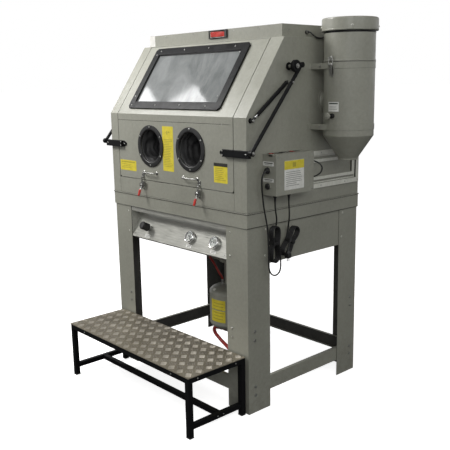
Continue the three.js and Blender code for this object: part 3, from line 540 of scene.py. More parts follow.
def through(points, step):
    """A smooth line through given points, with a point about every step millimetres."""
    pts = [Vector(p) for p in points]
    pts = [2 * pts[0] - pts[1]] + pts + [2 * pts[-1] - pts[-2]]
    line = []
    for a, b, c, d in zip(pts, pts[1:], pts[2:], pts[3:]):
        gaps = [max((q - p).length ** 0.5, 1e-6) for p, q in ((a, b), (b, c), (c, d))]
        t0, t1 = 0.0, gaps[0]
        t2, t3 = t1 + gaps[1], t1 + gaps[1] + gaps[2]
        count = max(2, round((c - b).length / step))
        for i in range(count):
            t = t1 + (t2 - t1) * i / count
            a1 = a * ((t1 - t) / (t1 - t0)) + b * ((t - t0) / (t1 - t0))
            a2 = b * ((t2 - t) / (t2 - t1)) + c * ((t - t1) / (t2 - t1))
            a3 = c * ((t3 - t) / (t3 - t2)) + d * ((t - t2) / (t3 - t2))
            b1 = a1 * ((t2 - t) / (t2 - t0)) + a2 * ((t - t0) / (t2 - t0))
            b2 = a2 * ((t3 - t) / (t3 - t1)) + a3 * ((t - t1) / (t3 - t1))
            line.append(b1 * ((t2 - t) / (t2 - t1)) + b2 * ((t - t1) / (t2 - t1)))
    line.append(pts[-2])
    return line


# ------------------------------------------------------------------ the two electric cords
CORD = 8.0
HANK_X = (610.0, 646.0)
HANK_RADIUS = 26.0
SOCKET = (643, 1313, 107)
OUTLETS = ((645, 156, 1169), (645, 260, 1169))


def hank_frame(ends):
    high, low = (Vector((0, *end)) for end in ends)
    up = (high - low).normalized()
    return high, low, up, Vector((0, up.z, -up.y)), (high - low).length


def oval_lengths(ends):
    """A hank's straight run and its whole turn."""
    run = hank_frame(ends)[4]
    return run, 2 * run + 2 * math.pi * HANK_RADIUS


def waist(along):
    """How far the tie draws the runs together at a share of their length."""
    return 1 - 0.42 * math.exp(-((along - 0.52) / 0.2) ** 2)


def hank_line(ends, start, end, x_from, x_to):
    """Oval turns about a hank's two end centres. Start and end are lengths along the oval, whose way is
    up the back, over the top, down the front and under the bottom."""
    high, low, up, out, run = hank_frame(ends)
    bend = math.pi * HANK_RADIUS
    around = 2 * run + 2 * bend
    count = round(abs(end - start) / 6)
    line = []
    for i in range(count + 1):
        total = start + (end - start) * i / count
        s = total % around
        slack = 1.0 + 0.02 * math.sin(2.4 * total / around + 0.7)
        if s < run:
            spot = low + HANK_RADIUS * slack * waist(s / run) * out + s * up
        elif s < run + bend:
            angle = (s - run) / HANK_RADIUS
            spot = high + HANK_RADIUS * slack * (math.cos(angle) * out + math.sin(angle) * up)
        elif s < 2 * run + bend:
            along = 1 - (s - run - bend) / run
            spot = high - HANK_RADIUS * slack * waist(along) * out - (1 - along) * run * up
        else:
            angle = (s - 2 * run - bend) / HANK_RADIUS
            spot = low - HANK_RADIUS * slack * (math.cos(angle) * out + math.sin(angle) * up)
        spot.x = x_from + (x_to - x_from) * i / count
        line.append(spot)
    return line


def make_tie(name, ends, share):
    """A strap round the hank's runs, with its buckle."""
    high, low, up, out, run = hank_frame(ends)
    at = place(low.lerp(high, share) + Vector((sum(HANK_X) / 2, 0, 0)), (1, 0, 0), out)
    wide, deep = 23.2, 21.5
    corners = [(wide - 5, -deep), (wide, 5 - deep), (wide, deep - 5), (wide - 5, deep),
               (5 - wide, deep), (-wide, deep - 5), (-wide, 5 - deep), (5 - wide, -deep)]
    strap = Shape(CORD_SKIN, BLACK_PLASTIC)
    for i, (x, y) in enumerate(corners):
        along = Vector((corners[(i + 1) % 8][0] - x, corners[(i + 1) % 8][1] - y, 0))
        side = at @ place((x, y, 0), along, (0, 0, 1))
        strap.block((-0.6, -8, -0.8), (along.length + 0.6, 8, 0.8), 0.5, side)
    strap.block((wide - 0.5, -9, -8), (wide + 3, 9, 8), 1.2, at, BLACK_PLASTIC)
    return strap.finish(name, "cabinet", "black_rubber")


def make_cord(name, line, replaces):
    """The cord's skin along the smoothed line."""
    for smoothing_pass in range(5):
        inner = [(a + 2 * b + c) / 4 for a, b, c in zip(line, line[1:], line[2:])]
        line = [line[0]] + inner + [line[-1]]
    skin = Shape(CORD_SKIN)
    skin.tube(line, CORD / 2, 10)
    piece = skin.finish(name, "cabinet", "black_rubber", replaces, weighted=False)


def strain_relief(name, start):
    """A tapered sleeve with ring grooves, from a housing down along the cord."""
    way = Vector((0, 0, -1))
    length, thick, thin, grooves = 26, 6.5, 4.6, 5
    profile = [(0, 0), (thick, 0)]
    for i in range(grooves):
        a, b = (i + 0.35) / (grooves + 0.5), (i + 0.75) / (grooves + 0.5)
        outer = [thick + (thin - thick) * t for t in (a, b)]
        profile += [(outer[0], a * length), (outer[0] - 0.9, a * length + 0.6),
                    (outer[1] - 0.9, b * length - 0.6), (outer[1], b * length)]
    profile += [(thin, length - 1), (thin - 0.6, length), (0, length)]
    relief = Shape(CORD_SKIN)
    relief.turn(profile, place(start, way.orthogonal(), way.cross(way.orthogonal())), 20)
    relief.finish(name, "cabinet", "black_rubber")


def make_socket_cord():
    """From the box's lower outlet through its hank and up the front to the plug in the upper socket."""
    ends = ((170, 990), (170, 848))
    run, around = oval_lengths(ends)
    turns = hank_line(ends, 4 * around + run, 0, *HANK_X)
    down = through([(645, 156, 1168.7), (645, 156, 1140), (643, 162, 1100), (636, 176, 1066),
                    (624, 190, 1042), (613, turns[0].y + 2.5, 1016), turns[0]], 6)
    up = through([turns[-1], (646, 196.5, 820), (646, 196, 790), (645, 185.7, 765.3), (642, 161, 755),
                  (637, 136.3, 765.3), (632, 126, 790), (628, 126, 820), (627, 127, 860),
                  (627, 126, 920), (627, 123, 970), (627, 117, 1020), (627, 106, 1070), (627, 94, 1120),
                  (628, 84, 1180), (631, 75, 1235), (635, 72, 1275), (638, 74.5, 1291.6),
                  (640, 81.7, 1303), (642, 92.4, 1310.5), (643, 106, 1313)], 6)
    line = down[:-1] + turns + up[1:]
    strain_relief("socket_cord_outlet_relief", OUTLETS[0])
    plug = Shape(BLACK_PLASTIC)
    plug.turn([(0, 0), (15.5, 0), (16.5, 1), (16.5, 7), (15.5, 8.5), (12.5, 9.5), (12, 16), (10, 18),
               (0, 18)], on_front(*SOCKET), 32)
    plug.tube(line[-5:], [5.2, 6.0, 6.8, 8.0, 9.5], 16)
    x, z, y = SOCKET
    for knurl in range(12):
        angle = knurl * math.pi / 6
        out, round_it = (math.cos(angle), 0, math.sin(angle)), (-math.sin(angle), 0, math.cos(angle))
        plug.block((14.6, -1.3, 1.5), (17.3, 1.3, 6.5), 0.5, place((x, y, z), out, round_it))
    plug.finish("socket_cord_plug", "cabinet", "black_plastic")
    make_tie("socket_cord_tie", ends, 0.56)
    make_cord("socket_cord", line,
              ("socket_cord_feed", "socket_cord_hank", "socket_cord_return"))


def make_power_cord():
    """From the box's rear outlet through its hank to the mains plug that hangs behind it."""
    ends = ((320, 968), (254, 870))
    run, around = oval_lengths(ends)
    enter = run + math.pi * HANK_RADIUS + 24
    turns = hank_line(ends, enter, enter + 4 * around - 24, *HANK_X)
    down = through([(645, 260, 1168.7), (645, 260, 1140), (644, 264, 1100), (638, 272, 1060),
                    (626, 282, 1028), (615, 288.5, 1000), (610.5, turns[0].y + 5, 980), turns[0]], 6)
    tail = through([turns[-1], (652, 268, 938.3), (659, 247.6, 908.6), (663.5, 236.3, 891.8),
                    (665.6, 232.5, 881.6), (666, 232, 872)], 6)
    line = down[:-1] + turns[:-1] + tail
    strain_relief("power_cord_outlet_relief", OUTLETS[1])
    plug = Shape(BLACK_PLASTIC, CHROME)
    standing = on_top(666, 232, 842)
    body = [(-14, -13), (-11, -15), (11, -15), (14, -13), (14, 13), (11, 15), (-11, 15), (-14, 13)]
    plug.slab([(x * 0.92, y * 0.92) for x, y in body], 0, 26, standing, BLACK_PLASTIC, 2)
    plug.turn([(0, 20), (13, 20), (12.4, 26), (9.5, 34), (8.4, 37), (0, 37)], standing,
              24, BLACK_PLASTIC)
    for ring in range(5):
        plug.turn([(0, 36 + ring * 1.3), (8.2 - ring * 0.5, 36 + ring * 1.3),
                   (7.6 - ring * 0.5, 37 + ring * 1.3), (0, 37 + ring * 1.3)], standing, 20,
                  BLACK_PLASTIC)
    for side in (-7, 7):
        plug.rod((666, 232 + side, 843), (666, 232 + side, 823), 2.4, 16, CHROME, 0.8)
    for rib in range(4):
        plug.block((-13.6, -6, 4 + rib * 5), (13.6, 6, 6.4 + rib * 5), 0.6,
                   standing, BLACK_PLASTIC)
    plug.finish("mains_plug", "cabinet", "black_plastic", ("power_plug",))
    make_tie("power_cord_tie", ends, 0.5)
    make_cord("power_cord", line, ("power_cord_feed", "power_cord_hank"))


make_socket_cord()
make_power_cord()

# ------------------------------------------------------------------ folded sheet and welded frames
for roll, nodes in ((1.0, "hopper side_panel_left side_panel_right rear_roof_panel"),
                    (0.8, "lower_front_panel"), (1.2, "light_box"),
                    (0.9, "leg_front_left leg_front_right leg_rear_left leg_rear_right skirt"),
                    (0.9, "rail_front rail_rear rail_left rail_right"), (1.2, "electrical_box")):
    for node in nodes.split():
        # legs, rails, skirt and side panels take painted shade on their inward faces
        framing = node.startswith(("leg", "rail", "skirt", "side_panel"))
        softened(node, "cabinet", COAT, roll, SHADED_INNER_COAT if framing else None)
softened("control_panel", "cabinet", SATIN, 1.2)
softened("door_upper_panel", "door", COAT, 1.2, join=False)
softened("door_lower_panel", "door", COAT, 1.2, join=False)
softened("window_frame", "door", BLACK, 1.6)
softened("bench_frame", "cabinet", BLACK, 1.6)
softened("work_grate", "cabinet", DARK_STEEL, 0.6)
softened("blower_wheel", "blower", DARK_STEEL, 0.4)
softened("filter_cartridge", "cabinet", PAPER, 0.4, sharp=60)
for side in ("left", "right"):
    softened("door_bracket_" + side, "door", BLACK, 1.2)


# ------------------------------------------------------------------ labels, blank of any wording
def label(shape, at, width, height, lines=(), thick=0.5):
    """A film rectangle centred on at, with plain bars (x, y, width, height, material) printed on it."""
    a, b, cut = width / 2, height / 2, 3.0
    outline = [(a - cut, b), (a, b - cut), (a, cut - b), (a - cut, -b), (cut - a, -b), (-a, cut - b),
               (-a, b - cut), (cut - a, b)]
    shape.slab(outline[::-1], 0.05, thick, at, shape.materials[0])
    for i, (x, y, w, h, material) in enumerate(lines):
        top = thick + 0.12 + 0.02 * i
        shape.block((x - w / 2, y - h / 2, thick - 0.1), (x + w / 2, y + h / 2, top), 0, at, material)


def rows(top, count, pitch, width, height, material, seed=1):
    """Rows of plain bars of uneven length."""
    pick = random.Random(seed)
    made = []
    for i in range(count):
        w = width * pick.uniform(0.62, 1.0)
        made.append(((w - width) / 2, top - i * pitch, w, height, material))
    return made


door_labels = Shape(YELLOW, INK, FADED_INK)
label(door_labels, on_front(-34, 1391), 98, 252,
      [(0, 92, 46, 1.6, FADED_INK), (-6, 90, 9, 20, FADED_INK), (10, 94, 11, 8, FADED_INK)]
      + rows(52, 17, 9.4, 78, 3.2, FADED_INK, 2))
label(door_labels, on_front(-433, 1270), 166, 62,
      [(0, 20, 140, 7, FADED_INK)] + rows(6, 3, 10, 140, 3, FADED_INK, 3))
label(door_labels, on_front(406, 1291), 106, 104,
      [(0, 43, 106, 18, INK)] + rows(24, 7, 10, 84, 3.4, FADED_INK, 4))
door_labels.finish("door_labels", "door", "powder_coat")

box_labels = Shape(WHITE, YELLOW, INK, GREY_INK, FADED_INK)
label(box_labels, on_right(248, 1284, 694), 148, 150,
      [(0, 52, 148, 44, YELLOW), (0, 52, 26, 24, FADED_INK)]
      + rows(16, 8, 10, 124, 3, GREY_INK, 5))
label(box_labels, on_front(640, 1347, 114), 76, 22, [(0, 3, 60, 5, INK), (0, -5, 50, 3, GREY_INK)])
label(box_labels, on_front(640, 1263, 114), 76, 18, [(0, 3, 56, 4, INK), (0, -4, 48, 3, GREY_INK)])
box_labels.finish("box_labels", "cabinet", "powder_coat")

panel_labels = Shape(WHITE, GREY_INK)
for x in (107, 315):
    label(panel_labels, on_panel(x, 20), 46, 20, [(0, 4, 36, 4, GREY_INK), (0, -4, 30, 4, GREY_INK)])
label(panel_labels, on_panel(-285, 18), 50, 20, [(0, 4, 40, 4, GREY_INK), (0, -4, 32, 4, GREY_INK)])
panel_labels.finish("panel_labels", "cabinet", "powder_coat")

# ------------------------------------------------------------------ fasteners on the still body
fixings = Shape(ZINC, INK, EDGE)
for y, z in ((54, 149), (54, 100), (53, 460), (52, 410), (857, 160), (859, 110), (857, 472),
             (859, 420)):
    fixings.bolt(on_right(y, z, 595), 6)
    fixings.bolt(on_left(y, z, -595), 6)
for side in (-1, 1):
    for x, z in ((545, 130), (545, 160), (470, 460), (470, 410)):
        fixings.bolt(on_front(side * x, z, 5), 5)
        fixings.bolt(on_back(side * x, z, 905), 5)
    for z in (985, 860):
        fixings.screw(on_front(side * 462, z, 5), 5, EDGE)
        fixings.screw(on_back(side * 462, z, 905), 5)
for face, edge in ((on_right, 600), (on_left, -600)):
    for y in (132, 767):
        for z in (1002, 860):
            fixings.screw(face(y, z, edge - math.copysign(0 if z > 1000 else 5, edge)), 5.5, EDGE)
for x in (-560, -300, 0, 300, 560):
    fixings.screw(on_back(x, 1940), 4)
    fixings.screw(on_back(x, 1130), 4)
for z in (1330, 1540, 1740):
    for x in (-575, 575):
        fixings.screw(on_back(x, z), 4)
for x in (-540, -200, 200, 540):
    fixings.screw(on_back(x, 2008, 690), 3.6)
for x in (-400, -140, 200, 400):
    fixings.screw(on_front(x, 2029, 295), 3.2)
for x in (-410, 410):
    fixings.screw(on_panel(x, 20), 4)
    fixings.screw(on_panel(x, 112), 4)
for y in (128, 386):
    for z in (1199, 1380):
        fixings.screw(on_right(y, z, 694), 3.4)
for y in (340, 645):
    fixings.screw(on_right(y, 2008, 565), 3.6)
    fixings.screw(on_left(y, 2008, -565), 3.6)
for y in (444, 560, 770, 884):
    for z in (1186, 1366):
        fixings.screw(on_right(y, z, 609), 4)
for x, y in ((-404, -3), (428, -3)):
    fixings.screw(on_front(12 + x, 312, -398 + 3), 4)
for y in (-330, -70):
    fixings.screw(on_right(y, 311, 576), 5)
    fixings.screw(on_left(y, 311, -552), 5)
for y in (-200, -160):
    fixings.screw(on_right(y, 60, 574), 4)
fixings.finish("body_fixings", "cabinet", "bright_steel")

# painted highlights: pale strips on the stand's top rim and on the clean-out port's raised bands; painted
# shade: a dark line in the port's groove; dark joints under the rim and lower on the skirt
light_shade_and_joint_lines = Shape(EDGE, INK)
# painted highlight: a pale strip along the rim's top edge; under it and lower down, dark joint lines
for side in (-1, 1):
    face = side * 600
    for low, high, proud, material in ((1094.5, 1100, 3, EDGE), (1091, 1094, 0.9, INK),
                                       (1020, 1023, 0.9, INK)):
        out = face + side * proud
        light_shade_and_joint_lines.block((min(face, out), 0, low), (max(face, out), 905, high), 0, None, material)
light_shade_and_joint_lines.block((-600, -3, 1094.5), (600, 0, 1100), 0, None, EDGE)
light_shade_and_joint_lines.block((-600, -0.9, 1091.5), (600, 0, 1094), 0, None, INK)
# painted highlight on the port's two raised bands, painted shade in the groove between them
for inset, width, x, material in ((1.5, 25, 609, EDGE), (47.5, 17, 609, EDGE), (29, 6, 600, INK)):
    y0, y1, z0, z1 = 430 + inset, 898 - inset, 1172 + inset, 1380 - inset
    for low, high in (((y0, z0), (y1, z0 + width)), ((y0, z1 - width), (y1, z1)),
                      ((y0, z0 + width), (y0 + width, z1 - width)),
                      ((y1 - width, z0 + width), (y1, z1 - width))):
        light_shade_and_joint_lines.block((x, *low), (x + 0.7, *high), 0.2, None, material)
light_shade_and_joint_lines.finish("sheet_painted_light_and_joints", "cabinet", "powder_coat")

# ------------------------------------------------------------------ the step
tread = Shape(TREAD, TREAD_BAR)
low, high = (Vector(p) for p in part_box("tread_plate"))
x0, x1 = ((v - ORIGIN.x) * 1000 for v in (low.x, high.x))
y0, y1 = ((v - ORIGIN.y) * 1000 for v in (low.y, high.y))
tread.block((x0, y0, 325), (x1, y1, 330), 1.0)
PITCH = 34
bar_section = [(-16, 0), (-13, -2.2), (13, -2.2), (16, 0), (13, 2.2), (-13, 2.2)]
for i in range(-17, 18):
    for j in range(-6, 7):
        if (i + j) % 2:
            continue
        centre = (37 + PITCH * i, -196 + PITCH * j, 330)
        angle = math.radians(45 if i % 2 else -45)
        turned = place(centre, (math.cos(angle), math.sin(angle), 0),
                       (-math.sin(angle), math.cos(angle), 0))
        for gap in (-16.8, -8.4, 0, 8.4, 16.8):
            at = turned @ Matrix.Translation((0, gap, 0))
            ends = [at @ Vector((x, 0, 0)) for x in (-16, 16)]
            if not all(x0 + 2 < end.x < x1 - 2 and y0 + 2 < end.y < y1 - 2 for end in ends):
                continue
            wide = [tread.bm.verts.new(at @ Vector((x, y, -0.3))) for x, y in bar_section]
            top = [tread.bm.verts.new(at @ Vector((x * 0.9, y * 0.55, 1.6))) for x, y in bar_section]
            made = [tread.bm.faces.new(top), tread.bm.faces.new(wide[::-1])]
            made += [tread.bm.faces.new((wide[k], wide[(k + 1) % 6], top[(k + 1) % 6], top[k]))
                     for k in range(6)]
            for made_face in made:
                made_face.material_index = 1
tread.finish("tread_plate_finished", "cabinet", "tread_aluminium", ("tread_plate",))

feet = Shape(BLACK_PLASTIC)
for x in (-538, 562):
    for y in (-378, -18):
        feet.block((x - 15.4, y - 15.4, 0), (x + 15.4, y + 15.4, 9), 2.5)
feet.finish("step_feet", "cabinet", "black_plastic")

# ------------------------------------------------------------------ window, arm rings and gloves
pane = Shape(PANE)
pane.block((-394, 73, -5), (346, 416, 0), 0.6, on_slope(0, 0))
pane.finish("window_pane", "door", "window_glass", ("window_glass",))

trim = Shape(CORD_SKIN, ZINC, INK)
edge = [(-386, 81), (338, 81), (338, 408), (-386, 408), (-386, 81)]
for (xa, sa), (xb, sb) in zip(edge, edge[1:]):
    start = on_slope(xa, sa, 1.5).translation
    end = on_slope(xb, sb, 1.5).translation
    trim.tube([start, end], 2.6, 10)
for x, s in ((-379, 460), (-158, 453), (58, 454), (275, 457), (334, 393), (326, 118), (269, 55),
             (47, 58), (-173, 54), (-404, 55), (-429, 116), (-404, 408)):
    s = min(s, 434)
    x = max(min(x, 364), -411)
    trim.screw(on_slope(x, s, 10.3), 4.4, ZINC)
trim.finish("window_trim", "door", "bright_steel")


ARM_HOLE_Z = 1398


def make_arm_hole(name, x):
    ring = Shape(BLACK_PLASTIC, ZINC, INK)
    face = on_front(x, ARM_HOLE_Z)
    ring.turn([(97, 0.3), (120.6, 0.3), (121, 1), (121, 4.4), (119.8, 6), (117, 6.6), (101, 7),
               (98.5, 7), (95.4, 6), (93.8, 4), (93.2, 2), (94, 0.3)], face, 96)
    for i in range(6):
        angle = math.radians(60 * i + 30)
        ring.screw(face @ Matrix.Translation((110 * math.cos(angle), 110 * math.sin(angle), 6.7)), 5.2,
                   ZINC)
    ring.finish(name + "_ring", "door", "black_rubber")

    # the sleeve hangs in folds, and the hand lies limp at its end
    glove = Shape(RUBBER)
    deep, steps, sides = 392.0, 64, 72
    seed = Vector((x * 0.013, 3.1, 7.7))
    rings = []
    for i in range(steps + 1):
        t = i / steps
        y = 4 + t * deep
        wide = 92 - 34 * min(1, t * 1.25) ** 1.2 - 18 * max(0, t - 0.8)
        slump = -26 * math.sin(math.pi * min(1, t * 1.1)) * t
        ring_verts = []
        for k in range(sides):
            a = 2 * math.pi * k / sides
            ripple = noise.noise(Vector((2.1 * math.cos(a), 2.1 * math.sin(a), t * 9)) + seed)
            fold = noise.noise(Vector((0.8 * math.cos(a), 0.8 * math.sin(a), t * 22 + 0.7 * ripple))
                               + 2 * seed)
            near = min(1, max(0, t - 0.015) * 16)
            r = wide * (1 + near * (0.15 * ripple + 0.14 * fold))
            flat = 1 - 0.35 * max(0, t - 0.55) / 0.45
            ring_verts.append(glove.bm.verts.new((x + r * math.cos(a), y,
                                                  ARM_HOLE_Z + slump + r * flat * math.sin(a))))
        rings.append(ring_verts)
    for one, two in zip(rings, rings[1:]):
        for k in range(sides):
            j = (k + 1) % sides
            glove.bm.faces.new((one[k], two[k], two[j], one[j]))
    glove.bm.faces.new(rings[-1])
    palm = sum((v.co for v in rings[-1]), Vector()) / sides
    for finger, (dx, length) in enumerate(((-27, 30), (-9, 37), (9, 36), (27, 28))):
        root = palm + Vector((dx, -12, 0))
        line = through([root, root + Vector((0.1 * dx, length * 0.6, -4)),
                        root + Vector((0.14 * dx, length * 0.95, -13 - finger)),
                        root + Vector((0.14 * dx, length, -28 - 2 * finger))], 3)
        count = len(line)
        taper = [1 - 0.2 * k / count for k in range(count - 2)] + [0.8 * 0.75, 0.8 * 0.3]
        glove.tube(line, [10.5 * share for share in taper], 16)
    thumb = palm + Vector((-38 if x > 0 else 38, -60, -4))
    out = -1 if x > 0 else 1
    line = through([thumb, thumb + Vector((8 * out, 20, -6)), thumb + Vector((10 * out, 44, -20))], 3)
    glove.tube(line, [12.5 * (1 - 0.25 * k / len(line)) for k in range(len(line))], 16)
    piece = glove.finish(name + "_rubber", "door", "black_rubber",
                         ("glove_left" if x < 0 else "glove_right",), sharp=80, weighted=False)
    thick = piece.modifiers.new("thickness", "SOLIDIFY")
    thick.thickness = 0.0016
    thick.offset = 1.0


make_arm_hole("left_arm", -197)
make_arm_hole("right_arm", 163)

# ------------------------------------------------------------------ small door hardware
# pins as (y, z)
ARM_LOW, ARM_PIN, ARM_END = (-14, 1409), (305, 1827), (348, 1833)
STRUT_LOW, STRUT_HIGH = (28, 1564), (277, 1746)
HANDLE_Z = 1243
CLAMP_X, CLAMP_PIN = (-280, 232), (-16.5, 1168)
handles = Shape(ZINC)
for x in (-208, 158):
    half = [(-60, -0.5), (-60, -10), (-54, -19), (-44, -22), (0, -22.5)]
    bar = half + [(-dx, y) for dx, y in half[-2::-1]]
    handles.tube(through([(x + dx, y, HANDLE_Z) for dx, y in bar], 3), 3.6, 14)
    for end in (-60, 60):
        handles.turn([(0, 0), (10, 0), (10, 1.6), (7, 3.5), (5, 4.5), (0, 4.5)],
                     on_front(x + end, HANDLE_Z), 24)
handles.finish("door_handles", "door", "powder_coat")

catches = Shape(ZINC, INK)
for x in CLAMP_X:
    catches.block((-11, -2, 0), (11, 24, 3), 0.8, on_front(x, 1212))
    catches.block((-7, -6, 3), (7, 0, 15), 0.8, on_front(x, 1214))
    catches.screw(on_front(x - 6, 1230, -3), 2.6)
    catches.screw(on_front(x + 6, 1230, -3), 2.6)
    for side in (-5, 5):
        catches.rod((x + side, -13, 1206), (x + side, -13, 1178), 1.9, 10)
    catches.rod((x - 6.5, -13, 1206), (x + 6.5, -13, 1206), 1.9, 10)
catches.finish("door_catches", "door", "bright_steel")

bases = Shape(ZINC, INK, BLACK_PLASTIC)
for x in CLAMP_X:
    bases.block((-13, -24, 0), (13, 20, 2), 0.7, on_front(x, 1168, -8.2))
    bases.block((14, -6, 0), (22, 20, 10), 1.4, on_front(x, 1168, -8.2), BLACK_PLASTIC)
    for side in (-1, 1):
        bases.block((x + side * 10 - 1, -24, 1158), (x + side * 10 + 1, -8, 1178), 0.6)
        bases.screw(on_front(x + side * 7, 1150, -10.2), 2.6)
    bases.rod((x - 12.5, *CLAMP_PIN), (x + 12.5, *CLAMP_PIN), 2.4, 14, None, 0.6)
bases.finish("clamp_bases", "cabinet", "bright_steel")

for side, x in zip(("left", "right"), CLAMP_X):
    lever = Shape(ZINC, RED)
    lever.rod((x - 7, *CLAMP_PIN), (x + 7, *CLAMP_PIN), 7.2, 28, ZINC, 1)
    lever.tube(through([(x, -17, 1166), (x, -22, 1150), (x, -30, 1134), (x, -34, 1126)], 3), 4, 14,
               ZINC)
    grip = through([(x, -28.5, 1140), (x, -32, 1132), (x, -37, 1118), (x, -42.5, 1104)], 3)
    count = len(grip) - 1
    lever.tube(grip, [4.6 + 2.6 * math.sin(math.pi * (0.12 + 0.82 * k / count)) ** 0.7
                      for k in range(count + 1)], 20, RED)
    lever.finish("clamp_%s_lever" % side, "clamp_" + side, "red_plastic", ("clamp_lever_" + side,))

bracket_trim = Shape(ZINC, INK)
for side in (-1, 1):
    for x, z in ((458, 1410), (459, 1388.5), (444, 1399.5)):
        bracket_trim.screw(on_front(side * x - 17, z, -4 if x < 450 else -20), 4.4)
    outer = side * (600 + 16)
    bracket_trim.screw(on_front(outer, 1400, -20), 5)
    bracket_trim.bolt(place((side * 664, *ARM_LOW), (0, side, 0), (0, 0, 1)), 6)
bracket_trim.finish("bracket_fixings", "door", "bright_steel")

# ------------------------------------------------------------------ lift arms and gas struts

def in_side(x, point):
    return (x, *point)


def between(a, b, distance):
    """The point at a distance from a towards b, both (y, z)."""
    way = Vector((b[0] - a[0], b[1] - a[1])).normalized()
    return (a[0] + way[0] * distance, a[1] + way[1] * distance)


for name, side in (("left", -1), ("right", 1)):
    x = side * 650
    arm = Shape(BLACK, ZINC)
    arm.rod(in_side(x, between(ARM_LOW, ARM_END, 6)), in_side(x, between(ARM_END, ARM_LOW, 10)), 9.5,
            36)
    for spot, wide in ((ARM_LOW, 15), (ARM_END, 14)):
        arm.rod((x - 12, *spot), (x + 12, *spot), wide, 40, BLACK, 1.4)
    arm.rod((x - 10, *ARM_PIN), (x + 10, *ARM_PIN), 31, 56, BLACK, 2.2)
    arm.rod((x + side * 9, *ARM_PIN), (x + side * 12, *ARM_PIN), 17, 40, BLACK, 0.8)
    arm.tube([in_side(x, ARM_PIN), in_side(x, ARM_END)], 9, 20)
    arm.rod((side * 627, *STRUT_HIGH), (side * 646, *STRUT_HIGH), 7, 24, ZINC, 0.8)
    arm.rod((side * 663.4, *STRUT_HIGH), (side * 650, *STRUT_HIGH), 6, 6, ZINC, 0.8)
    arm.finish("lift_arm_%s_finished" % name, "lift_arms", "black_paint", ("lift_arm_" + name,))

    x = side * 614
    rod = Shape(CHROME, BLACK_PLASTIC)
    rod.rod(in_side(x, between(STRUT_LOW, STRUT_HIGH, 5)),
            in_side(x, between(STRUT_LOW, STRUT_HIGH, 210)), 4.5, 28, CHROME, 0.5)
    rod.rod((x - 7, *STRUT_LOW), (x + 7, *STRUT_LOW), 9, 32, BLACK_PLASTIC, 1.2)
    rod.rod(in_side(x, between(STRUT_LOW, STRUT_HIGH, 7)),
            in_side(x, between(STRUT_LOW, STRUT_HIGH, 24)), 6.4, 24, BLACK_PLASTIC, 1)
    rod.finish("strut_rod_%s_finished" % name, "strut_rods", "chrome", ("strut_rod_" + name,))

    barrel = Shape(BLACK, BLACK_PLASTIC)
    start = between(STRUT_LOW, STRUT_HIGH, 46)
    way = Vector(in_side(0, between((0, 0), (STRUT_HIGH[0] - STRUT_LOW[0],
                                             STRUT_HIGH[1] - STRUT_LOW[1]), 1)))
    at = place(in_side(x, start), (1, 0, 0), way.cross(Vector((1, 0, 0))))
    length = (Vector(STRUT_HIGH) - Vector(start)).length - 4
    barrel.turn([(5.2, 1), (8.6, 0), (9.4, 0.8), (9.4, 9), (10, 10), (10, length - 14),
                 (9.2, length - 12), (8.4, length - 3), (7, length), (0, length), (0, 205), (5.2, 205)],
                at, 36)
    barrel.rod((x - 8, *STRUT_HIGH), (x + 8, *STRUT_HIGH), 10, 32, BLACK_PLASTIC, 1.4)
    barrel.finish("strut_barrel_%s" % name, "strut_cylinders", "black_paint",
                  ("strut_cylinder_" + name,))

pivots = Shape(ZINC, BLACK)
for side in (-1, 1):
    for pin, reach, wide, sides, chamfer, nut, head in ((ARM_PIN, 606, 20, 40, 1.5, 664, 8),
                                                        (STRUT_LOW, 604, 13, 32, 1, 624, 4.6)):
        pivots.rod((side * HALF_WIDTH, *pin), (side * reach, *pin), wide, sides, BLACK, chamfer)
        pivots.bolt(place((side * nut, *pin), (0, side, 0), (0, 0, 1)), head)
pivots.finish("pivot_fixings", "cabinet", "bright_steel")

# ------------------------------------------------------------------ dust collector
X, Y = 755.0, 606.0
STRAP_Z, DUCT_Z, SHAKER_Z, LATCH_Z = (1826, 1512), 1650, 1572, 1831
axis = on_top(X, Y)
drum = Shape(COAT)
drum.turn([(0, 1336), (50.8, 1336), (52, 1337), (52, 1344), (54, 1347), (131, 1462), (133.6, 1466),
           (133.6, 1470), (133, 1472), (133, 1836), (135.4, 1838), (135.4, 1845), (134.6, 1846),
           (131, 1846), (131, 1467), (50, 1347), (50, 1339), (0, 1339)], axis, 112)
for z in (1480, 1700):
    drum.block((-1.3, 0, 0), (1.3, 118, 1.4), 0.6,
               place((X + 133 * math.cos(-2.2), Y + 133 * math.sin(-2.2), z),
                     (-math.sin(-2.2), math.cos(-2.2), 0), (0, 0, 1)))
drum.rod((600.4, Y, DUCT_Z), (640, Y, DUCT_Z), 52, 64)
drum.turn([(52, 0), (68, 0), (68, 3), (56, 4), (52, 8)], on_right(Y, DUCT_Z, 600.4), 64)
for z in STRAP_Z:
    for end in (-1, 1):
        wall = Y + end * 128
        drum.block((600.4, min(wall, wall - end * 4), z - 15), (726, max(wall, wall - end * 4), z + 15),
                   0.9)
        drum.block((600.4, min(wall, wall + end * 24), z - 15),
                   (603.6, max(wall, wall + end * 24), z + 15), 0.9)
    drum.turn([(133.2, z - 15), (135.2, z - 14), (135.2, z + 14), (133.2, z + 15)], axis, 112)
drum.finish("drum_shell", "cabinet", "powder_coat", ("collector_drum",))

head = Shape(COAT, BLACK, DARK_STEEL)
head.turn([(0, 2061.5), (131, 2061.5), (131, 1846.6), (133.6, 1846.6), (135.4, 1848), (135.4, 1855),
           (133, 1857), (133, 2058), (143, 2058), (144.4, 2001), (145.2, 2000), (146, 2001),
           (146, 2056), (144, 2062), (139, 2065), (90, 2064.6), (0, 2064.2)], axis, 112)
head.turn([(146, 2002), (147, 2003.5), (147, 2006), (146, 2008), (144.5, 2005)], axis, 112)
